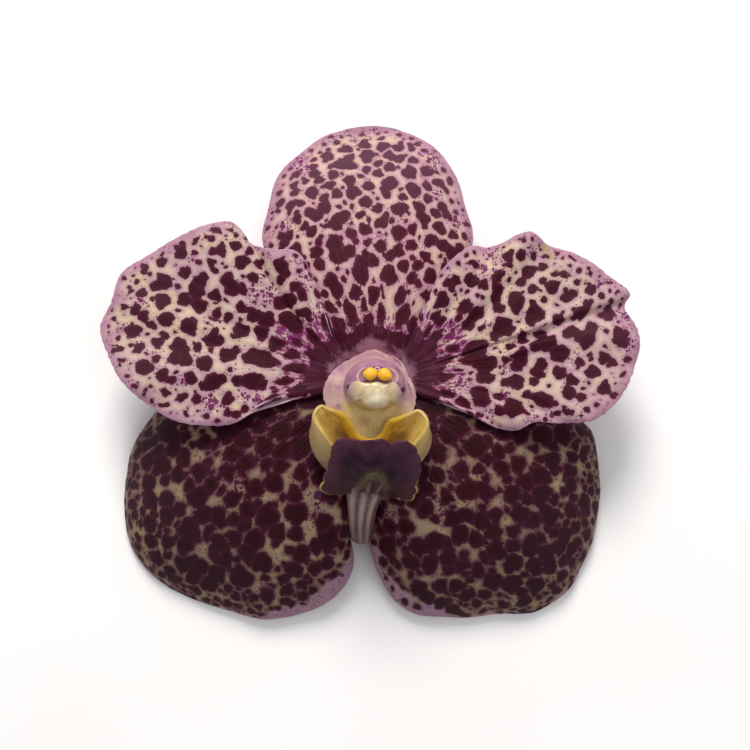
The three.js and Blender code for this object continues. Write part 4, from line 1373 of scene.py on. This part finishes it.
def make_midlobe():
    rng = np.random.default_rng(MIDLOBE_SEED)
    grid = blade_grid(MIDLOBE, MIDLOBE_COLUMNS, MIDLOBE_ROWS)
    inward = blade_measures(grid)[1]
    share = np.linspace(0, 1, MIDLOBE_COLUMNS + 1)[:, None]
    x, up = grid[..., 0], grid[..., 1]

    # Scalloped edge, wrinkles across the middle, and the keels that lead down to the spur
    wander = waves(share, *SCALLOP_WANDER)
    scallop = np.abs(np.sin(math.pi * MIDLOBE_SCALLOPS * share + wander)) - SCALLOP_MIDDLE
    grid = pushed_out(grid, SCALLOP_PUSH * scallop * np.exp(-inward / SCALLOP_REACH))
    lift = SCALLOP_LIFT * scallop * np.exp(-inward / SCALLOP_LIFT_REACH)
    lift += MIDLOBE_DENT_DEPTH * wave_noise(rng, grid[..., :2], MIDLOBE_DENT_SIZE)
    (wrinkled_x, wrinkled_up), (wide, long) = WRINKLE_CENTRE, WRINKLE_REACH
    sway, sway_waves = WRINKLE_SWAY
    wrinkles = np.sin(up * WRINKLE_WAVES + sway * np.sin(x * sway_waves))
    lift += WRINKLE_DEPTH * wrinkles * bell(x - wrinkled_x, wide) * bell(up - wrinkled_up, long)
    keel = np.zeros_like(x)
    groove = np.zeros_like(x)
    for foot_x, top_x, top in MIDLOBE_KEELS:
        middle = foot_x + (top_x - foot_x) * np.clip(up / top, 0, KEEL_SLANT_END)
        fade = smoothstep(up, top + KEEL_GONE, top - KEEL_WHOLE)
        keel = np.maximum(keel, bell(x - middle, MIDLOBE_KEEL_WIDTH) * fade)
        groove = np.maximum(groove, bell(x - middle - MIDLOBE_GROOVE_BESIDE, MIDLOBE_GROOVE_WIDTH) * fade)

    # The pale arch over the keels, and the hump that carries it
    beside = np.abs(x - ARCH_X)
    below = ARCH_TOP - up
    arch = bell(beside - ARCH_SPREAD * np.sqrt(np.maximum(below, 0)), ARCH_BAND)
    arch = arch * smoothstep(below, *ARCH_BEGINS) * smoothstep(below, *ARCH_LEGS_FADE)
    crown_middle, crown_reach = ARCH_CROWN
    arch = np.maximum(arch, bell(np.hypot(beside, below - crown_middle), crown_reach))
    hump = smoothstep(below + MIDLOBE_HUMP_ABOVE - beside ** 2, *MIDLOBE_HUMP_EDGE)
    grid = lifted(grid, lift + (MIDLOBE_KEEL_HEIGHT * keel + MIDLOBE_HUMP_HEIGHT * hump))
    along, inward, edge_distance = blade_measures(grid)
    sides = sheet_sides(grid, edge_distance, MIDLOBE["thickness"], -math.inf)
    cosine, sine = math.cos(MIDLOBE["slope"]), math.sin(MIDLOBE["slope"])
    turn = np.array([(1, 0, 0), (0, cosine, -sine), (0, sine, cosine)])
    front, back = (side @ turn.T + MIDLOBE["foot"] for side in sides)
    attributes = {
        "inward": inward,
        "pale_edge": smoothstep(up, *PALE_EDGE_UP) * smoothstep(np.abs(x - PALE_EDGE_X), *PALE_EDGE_REACH),
        "low": smoothstep(up, *MIDLOBE_LOW),
        "arch": np.clip(arch * ARCH_SHOWS, 0, 1),
        "keel": np.clip(keel * KEEL_SHOWS, 0, 1),
        "groove": groove,
        "vein": vein_places(along),
    }
    dress(sheet_object("lip_midlobe", front, back, midlobe_material(), attributes), "lip", "lip")


def spur_material():
    s = Shader("lip_spur")
    run = s.attribute("run")
    colour = s.layers(
        "6c5250",
        ("58403f", s.patches(1.0, 0.35, 0.65)),
        ("9c8780", "keel", 0.9),
        ("43202f", "groove", s.patches(0.4, 0.38, 0.52, 2.0), 0.7),
        ("3d2527", s.step(run, 3.0, 0.4), 0.6),
        ("4a3432", s.step(run, 5.0, 8.5), 0.45),
    )
    return s.tissue(colour, s.noise(0.12), (0.4, 0.15), 0.03, (0.2, (1.0, 0.6, 0.6), 0.7), 0.2)


def make_spur():
    angle = turns(SPUR_SIDES) * TAU
    upper = smoothstep(np.sin(angle), *SPUR_UPPER)
    beside = [np.cos(angle) - offset for offset in SPUR_KEELS]
    keel = upper * sum(bell(x, SPUR_KEEL_WIDTH) for x in beside)
    groove = upper * sum(bell(x - SPUR_GROOVE_BESIDE, SPUR_GROOVE_WIDTH) for x in beside)
    relief = SPUR_KEEL_HEIGHT * keel - SPUR_GROOVE_DEPTH * groove

    def swell(_, share):
        return 1 + relief * (1 - SPUR_RELIEF_LOSS * share) * smoothstep(share, *SPUR_RELIEF_BEGINS)

    rings = tube_rings(SPUR, np.array([1.0, 0, 0]), SPUR_RINGS, SPUR_SIDES, swell)
    tip, last = np.array(SPUR_TIP), rings[-1]
    caps = []
    for step in SPUR_TIP_STEPS:
        narrowed = math.sqrt(1 - step**2)
        caps.append(tip + (last - tip) * narrowed + (tip - last.mean(axis=0)) * (step - 1 + narrowed))
    rings = np.concatenate([rings, caps])
    attributes = {
        "keel": np.broadcast_to(keel, rings.shape[:2]),
        "groove": np.broadcast_to(groove, rings.shape[:2]),
        "run": lengths_from(rings, 0),
    }
    start = rings[0].mean(axis=0)
    dress(ring_object("lip_spur", rings, start, tip, spur_material(), attributes), "lip", "lip")


# The column
def column_material():
    s = Shader("column")
    dome = s.layers("a47884", ("90597a", s.patches(1.2, 0.35, 0.7)), ("b8948a", "warm"))
    colour = s.layers(
        "bb9691",
        ("a67e83", s.patches(2.0, 0.35, 0.65)),
        ("cbada0", "warm", 0.75),
        ("a0708c", s.patches(1.3, 0.52, 0.7), "wing", 0.85),
        (s.mix(s.patches(1.5, 0.4, 0.7, 2.0), "e0c488", "ccaa6c"), "foot"),
        ("8a6c45", "seam", 0.35),
        (dome, "head"),
        ("8a5c74", "pit", 0.55),
        ("c9aca4", "membrane", 0.8),
        ("4a2046", "dot"),
        ("a97683", "fade", s.step(s.veins(2.2, 0.5), 0.2, 0.6), 0.6),
    )
    return s.tissue(colour, s.noise(0.10), (0.34, 0.15), 0.02, (0.3, (1.0, 0.55, 0.5), 0.8), 0.22)


def head_height(x, y):
    """The height of the column's domed head."""
    (centre_x, centre_y), (radius_x, radius_y) = COLUMN_HEAD, COLUMN_HEAD_RADII
    reach = np.hypot((x - centre_x) / radius_x, (y - centre_y) / radius_y)
    rise = np.sqrt(np.clip(1 - reach**2, 0, 1)) ** HEAD_BLUNTNESS
    return COLUMN_SHOULDER + (COLUMN_CROWN - COLUMN_SHOULDER) * rise


def make_column():
    around = turns(COLUMN_SIDES)
    wing = smooth_through(COLUMN_WING, True, around)
    centre = np.array(COLUMN_HEAD)
    angle = np.arctan2(wing[:, 1] - centre[1], wing[:, 0] - centre[0])
    facing = np.stack([np.cos(angle), np.sin(angle)], axis=1)
    wing[:, :2] += facing * waves(around, *WING_RIPPLES)[:, None]

    def ellipse(middle, radius_x, radius_y, z):
        plan = np.asarray(middle) + facing * (radius_x, radius_y)
        return np.concatenate([plan, np.full((COLUMN_SIDES, 1), z)], axis=1)

    radius_x, radius_y = COLUMN_HEAD_RADII
    dome = []
    for turn in np.linspace(COLUMN_FIRST_RING, 1, COLUMN_DOME_RINGS):
        out = math.sin(turn * math.pi / 2)
        ring = ellipse(centre, radius_x * out, radius_y * out, 0)
        ring[:, 2] = head_height(ring[:, 0], ring[:, 1])
        dome.append(ring)
    narrowing, drop = COLUMN_NECK
    neck = ellipse(centre, radius_x - narrowing, radius_y - narrowing, COLUMN_SHOULDER - drop)
    hollow = (neck + wing) / 2 - UP * COLUMN_HOLLOW
    free = 1 - WING_JOINED * smoothstep(wing[:, 1:2], *WING_JOINS)
    toward = np.concatenate([-facing, np.zeros((COLUMN_SIDES, 1))], axis=1)
    inner_wing = wing + toward * WING_SLOPE_WIDTH
    inner_wing[:, 2] += WING_BACK_RISE * smoothstep(wing[:, 1], *WING_BACK)
    under, deep = (wing + toward * inset * free - UP * drop for inset, drop in WING_UNDERSIDE)
    waist = ellipse(COLUMN_FOOT, *COLUMN_FOOT_RADII, COLUMN_WAIST)
    waist[:, 2] = np.minimum(waist[:, 2], deep[:, 2] - WAIST_DROP)
    base = ellipse(COLUMN_FOOT, *COLUMN_FOOT_RADII, COLUMN_BASE)
    base[:, 2] = np.minimum(base[:, 2], waist[:, 2] - BASE_DROP)
    stations = [dome[-1], neck, hollow, inner_wing, wing, under, deep, waist, base]
    rings = np.concatenate([np.stack(dome), rings_through(stations, COLUMN_ROWS_A_SPAN)[1:]])

    # The pit that holds the pollen masses, with a thin membrane along each side
    x, y = rings[..., 0], rings[..., 1]
    zone = {name: smoothstep(y, *reach) for name, reach in COLUMN_ZONES.items()}
    on_dome = np.arange(len(rings))[:, None] < COLUMN_DOME_RINGS
    (pit_x, pit_y), (wide, long) = PIT_CENTRE, PIT_RADII
    distance = np.hypot((x - pit_x) / wide, (y - pit_y) / long)
    pit = smoothstep(distance, *PIT_EDGE) * on_dome
    sideways = smoothstep(np.abs(x - pit_x), *MEMBRANE_BESIDE)
    membrane = bell(distance - MEMBRANE_REACH, MEMBRANE_WIDTH) * sideways * on_dome * zone["membrane"]
    rings[..., 2] += MEMBRANE_HEIGHT * membrane - PIT_DEPTH * pit
    reach = np.hypot((x - centre[0]) / radius_x, (y - centre[1]) / radius_y)
    middle = zone["middle"] * smoothstep(np.abs(x - MIDDLE_X), *MIDDLE_REACH)
    attributes = {
        "head": smoothstep(reach, *HEAD_ENDS) * (rings[..., 2] > HEAD_FOOT) * zone["head"],
        "warm": zone["warm"],
        "pit": pit,
        "membrane": np.clip(membrane * MEMBRANE_SHOWS, 0, 1),
        "wing": smoothstep(reach, *WING_BEGINS) * (1 - zone["front"]),
        "foot": np.clip(zone["front"] + middle, 0, 1),
        "seam": sum(bell(x - line, SEAM_WIDTH) for line in COLUMN_SEAMS) * zone["seam"],
        "dot": smoothstep(near_pixels(rings, COLUMN_DOTS), *DOT_EDGE) * on_dome,
        "fade": zone["fade"],
        "vein": flat_places(x, y * 0.5),
    }
    end = np.array([*COLUMN_FOOT, COLUMN_BASE])
    piece = ring_object("column_bloom", rings, rings[0].mean(axis=0), end, column_material(), attributes)
    dress(piece, "column", "column")


def cap_material():
    s = Shader("anther_cap")
    colour = s.layers(
        "dcc7a0",
        ("cdb48c", s.patches(1.1, 0.35, 0.65)),
        # Darker along its creases: painted shade
        ("b0947a", "crease", 0.4),
        ("ece2c8", "nose", 0.8),
        ("ae8890", "side", 0.8),
    )
    return s.tissue(
        colour, s.noise(0.2), (0.16, 0.10), 0.02, (0.45, (1.0, 0.8, 0.5), 0.9), 0.4,
        Coat_Weight=0.15, Coat_Roughness=0.12,
    )


def make_cap():
    outline = smooth_through(CAP_OUTLINE, True, turns(CAP_SIDES))
    centre = np.array(CAP_CENTRE)
    quarter = np.linspace(0, 1, CAP_RINGS) * math.pi / 2
    plan_power, rise_power = CAP_BULGE
    shares = np.maximum(np.cos(quarter) ** plan_power, CAP_TOP_RING)
    plan = centre + (outline - centre) * shares[:, None, None]
    x, y = plan[..., 0], plan[..., 1]
    rise = (np.sin(quarter) ** rise_power)[:, None]
    crease = np.zeros_like(x)
    for ends in CAP_CREASES:
        run, beside, length = along_line(x, y, ends)
        part = np.clip(run / length, 0, 1)
        fold = bell(np.hypot(run - part * length, beside), CREASE_WIDTH)
        crease = np.maximum(crease, fold * (1 - CREASE_LOSS * part))
    aside = np.abs(x - CAP_CENTRE[0])
    ridge = np.abs(x - CAP_RIDGE_X)
    chevron = bell(ridge * CHEVRON_SLANT + y - CAP_CHEVRON_Y, CHEVRON_WIDTH)
    chevron *= smoothstep(ridge, *CHEVRON_ENDS)
    spine = bell(ridge, SPINE_WIDTH) * smoothstep(y, *SPINE_BEGINS)
    nose = bell(np.hypot(x - CAP_NOSE[0], (y - CAP_NOSE[1]) / NOSE_LENGTH), NOSE_REACH)
    relief = sum(size * form for size, form in zip(CAP_RELIEF, (chevron, spine, nose, crease)))
    height = CAP_HEIGHT * rise * (1 + relief)
    height *= 1 - CHEEK_DROP * smoothstep(aside, *CHEEK_REACH)
    followed = np.maximum(y, CAP_LIP + (y - CAP_LIP) * CAP_FOLLOWS)
    z = head_height(x, followed) - CAP_SUNK + height
    rings = np.stack([x, y, z], axis=2)
    start = np.array([*centre, z[0].min() - CAP_SUNK])
    end = rings[-1].mean(axis=0)
    attributes = {
        "crease": crease,
        "nose": np.maximum(nose, SPINE_SHOWS * spine),
        "side": smoothstep(aside, *CHEEK_COLOUR_REACH),
    }
    piece = ring_object("anther_cap_bloom", rings, start, end, cap_material(), attributes)
    dress(piece, "cap", "anther_cap")


def pollen_material():
    s = Shader("pollinarium")
    colour = s.layers(
        "f0b622",
        ("e8a518", s.patches(0.5, 0.35, 0.7)),
        # Deeper orange towards each mass's underside: painted shade
        ("c98512", s.step(s.attribute("rise"), 0.1, -0.7)),
    )
    return s.tissue(colour, s.noise(0.08), (0.32, 0.2), 0.02, (0.35, (1.0, 0.6, 0.1), 0.6), 0.5)


def pollen_rings(centre, turn, lobes):
    """A rounded mass: rings of an ellipsoid turned a little and pressed into soft corners."""
    angle = turns(POLLEN_SIDES) * TAU
    bumps = 1 + POLLEN_CORNER * np.cos(lobes * angle + POLLEN_CORNER_TURN)
    rings = []
    for tilt in np.linspace(*POLLEN_ENDS, POLLEN_RINGS) * math.pi:
        wide = np.cos(angle) * bumps * POLLEN_RADII[0] * math.sin(tilt) ** POLLEN_BLUNTNESS
        long = np.sin(angle) * bumps * POLLEN_RADII[1] * math.sin(tilt) ** POLLEN_BLUNTNESS
        x = wide * math.cos(turn) - long * math.sin(turn)
        y = wide * math.sin(turn) + long * math.cos(turn)
        z = np.full(POLLEN_SIDES, POLLEN_RADII[2] * math.cos(tilt))
        rings.append(np.stack([x, y, z], axis=1))
    return np.stack(rings) + centre


def make_pollinarium():
    for side, x, y, turn, lobes in POLLEN_MASSES:
        centre = np.array([x, y, POLLEN_HEIGHT])
        rings = pollen_rings(centre, turn, lobes)
        attributes = {"rise": (rings[..., 2] - POLLEN_HEIGHT) / POLLEN_RADII[2]}
        top, bottom = (centre + UP * sign * POLLEN_RADII[2] for sign in (1, -1))
        piece = ring_object("pollen_" + side, rings, top, bottom, pollen_material(), attributes)
        dress(piece, "pollen", "pollinarium")


def make_beak():
    """The small pale beak above the pollen masses, a ring with a dark eye."""
    angle = turns(BEAK_SIDES) * TAU
    around = np.stack([np.cos(angle), np.sin(angle) * BEAK_FLATNESS, angle * 0], axis=1)
    centre = np.array(BEAK_CENTRE)
    rings = np.stack([centre + around * radius + UP * height for radius, height in BEAK_PROFILE])
    eye = np.array([height < 0 and radius < BEAK_EYE_RADIUS for radius, height in BEAK_PROFILE], float)
    s = Shader("beak")
    colour = s.layers("d9c6c0", ("c6aeae", s.patches(0.3, 0.4, 0.6, 2.0)), ("4a2338", "eye"))
    glow = {"Subsurface_Weight": 0.2, "Subsurface_Scale": 0.4 * MM}
    material = s.finish(colour, 0.35, s.noise(0.1), 0.02, **glow)
    attributes = {"eye": np.broadcast_to(eye[:, None], rings.shape[:2])}
    start, end = (centre + UP * BEAK_PROFILE[index][1] for index in (0, -1))
    dress(ring_object("column_beak", rings, start, end, material, attributes), "column")


# The pedicel
def pedicel_material():
    s = Shader("pedicel")
    colour = s.layers(
        "c9c096",
        ("b9b487", s.patches(3.0, 0.35, 0.65)),
        ("c4a0a8", s.step(s.attribute("run"), 9.0, 1.0), 0.6),
        ("ded6b4", "rib", 0.5),
        ("96706e", s.patches(0.6, 0.6, 0.72), 0.4),
        (s.mix(s.patches(0.3, 0.4, 0.6, 2.0), "a39a62", "8b7a4c"), "cut"),
    )
    return s.tissue(colour, s.noise(0.15), (0.42, 0.15), 0.04, (0.15, (0.8, 0.9, 0.4), 0.6), 0.4)


def make_pedicel():
    ahead = np.array([math.cos(PEDICEL_HEADING), math.sin(PEDICEL_HEADING), 0])
    stations = [(*(FLOWER_CENTRE + ahead[:2] * run), z, radius, radius) for run, z, radius in PEDICEL]

    def swell(angle, share):
        waves_along, waves_around = PEDICEL_WAVES
        uneven = PEDICEL_UNEVEN * np.sin(waves_along * share + waves_around * angle)
        return 1 + PEDICEL_RIB_HEIGHT * np.cos(PEDICEL_RIBS * angle) + uneven

    rings = tube_rings(stations, np.cross(UP, ahead), PEDICEL_RINGS, PEDICEL_SIDES, swell)
    along = lengths_from(rings, 0)
    last = rings[-1].mean(axis=0)
    faces = [last + (rings[-1] - last) * share + ahead * out for share, out in PEDICEL_CUT]
    cut = np.concatenate([np.zeros(along.shape), np.ones((len(faces), PEDICEL_SIDES))])
    cut[len(along)] = 0
    rings = np.concatenate([rings, faces])
    run = np.concatenate([along, np.broadcast_to(along[-1], (len(faces), PEDICEL_SIDES))])
    angle = turns(PEDICEL_SIDES) * TAU
    rib = smoothstep(np.cos(PEDICEL_RIBS * angle), *PEDICEL_RIB_EDGE)
    attributes = {"run": run, "rib": np.broadcast_to(rib, run.shape), "cut": cut}
    start, end = rings[0].mean(axis=0), last + ahead * PEDICEL_CUT[-1][1]
    piece = ring_object("pedicel_bloom", rings, start, end, pedicel_material(), attributes)
    dress(piece, "pedicel", "pedicel")


# Floor, lights and camera
def make_floor():
    s = Shader("floor")
    colour = s.mix(s.patches(60.0, 0.4, 0.6, 2.0), "f2f0ee", "efecea")
    material = s.finish(colour, 0.6, s.noise(0.8), 0.01)
    half = FLOOR_SIZE / 2
    corners = [(-half, -half, 0), (half, -half, 0), (half, half, 0), (-half, half, 0)]
    mesh_object("floor", corners, [[0, 1, 2, 3]], material, {})


def add_light(name, place, size, watts, colour):
    lamp = bpy.data.lights.new(name, "AREA")
    lamp.shape = "DISK"
    lamp.size = size * MM
    lamp.energy = watts
    lamp.color = colour
    light = bpy.data.objects.new(name, lamp)
    light.location = np.array(place) * MM
    aim = Vector((LOOK_AT - np.array(place)).tolist())
    light.rotation_euler = aim.to_track_quat("-Z", "Y").to_euler()
    bpy.context.scene.collection.objects.link(light)


def make_studio():
    world = bpy.data.worlds.new("studio")
    world.use_nodes = True
    sky = world.node_tree.nodes["Background"].inputs
    sky["Color"].default_value = WORLD_COLOUR
    sky["Strength"].default_value = WORLD_STRENGTH
    bpy.context.scene.world = world
    for light in LIGHTS:
        add_light(*light)
    bpy.context.scene.view_settings.view_transform = "Standard"


def make_camera():
    lens = bpy.data.cameras.new("camera")
    lens.sensor_width = SENSOR
    lens.lens = SENSOR * FOCAL_PIXELS / PICTURE
    lens.clip_start = CLIP_START
    camera = bpy.data.objects.new("camera", lens)
    back = np.array([0, -math.sin(TILT), math.cos(TILT)]) * CAMERA_DISTANCE
    camera.location = (LOOK_AT + back) * MM
    camera.rotation_euler = (TILT, 0, 0)
    bpy.context.scene.collection.objects.link(camera)
    bpy.context.scene.camera = camera


make_tepal("dorsal_sepal", DORSAL_LOOK, "sepal")
make_tepal("petal_left", PETAL_LOOK, "petal")
make_tepal("petal_right", PETAL_LOOK, "petal")
make_tepal("lateral_sepal_left", LATERAL_LOOK, "sepal")
make_tepal("lateral_sepal_right", LATERAL_LOOK, "sepal")
make_cup()
make_midlobe()
make_spur()
make_column()
make_cap()
make_pollinarium()
make_beak()
make_pedicel()
make_floor()
make_studio()
make_camera()
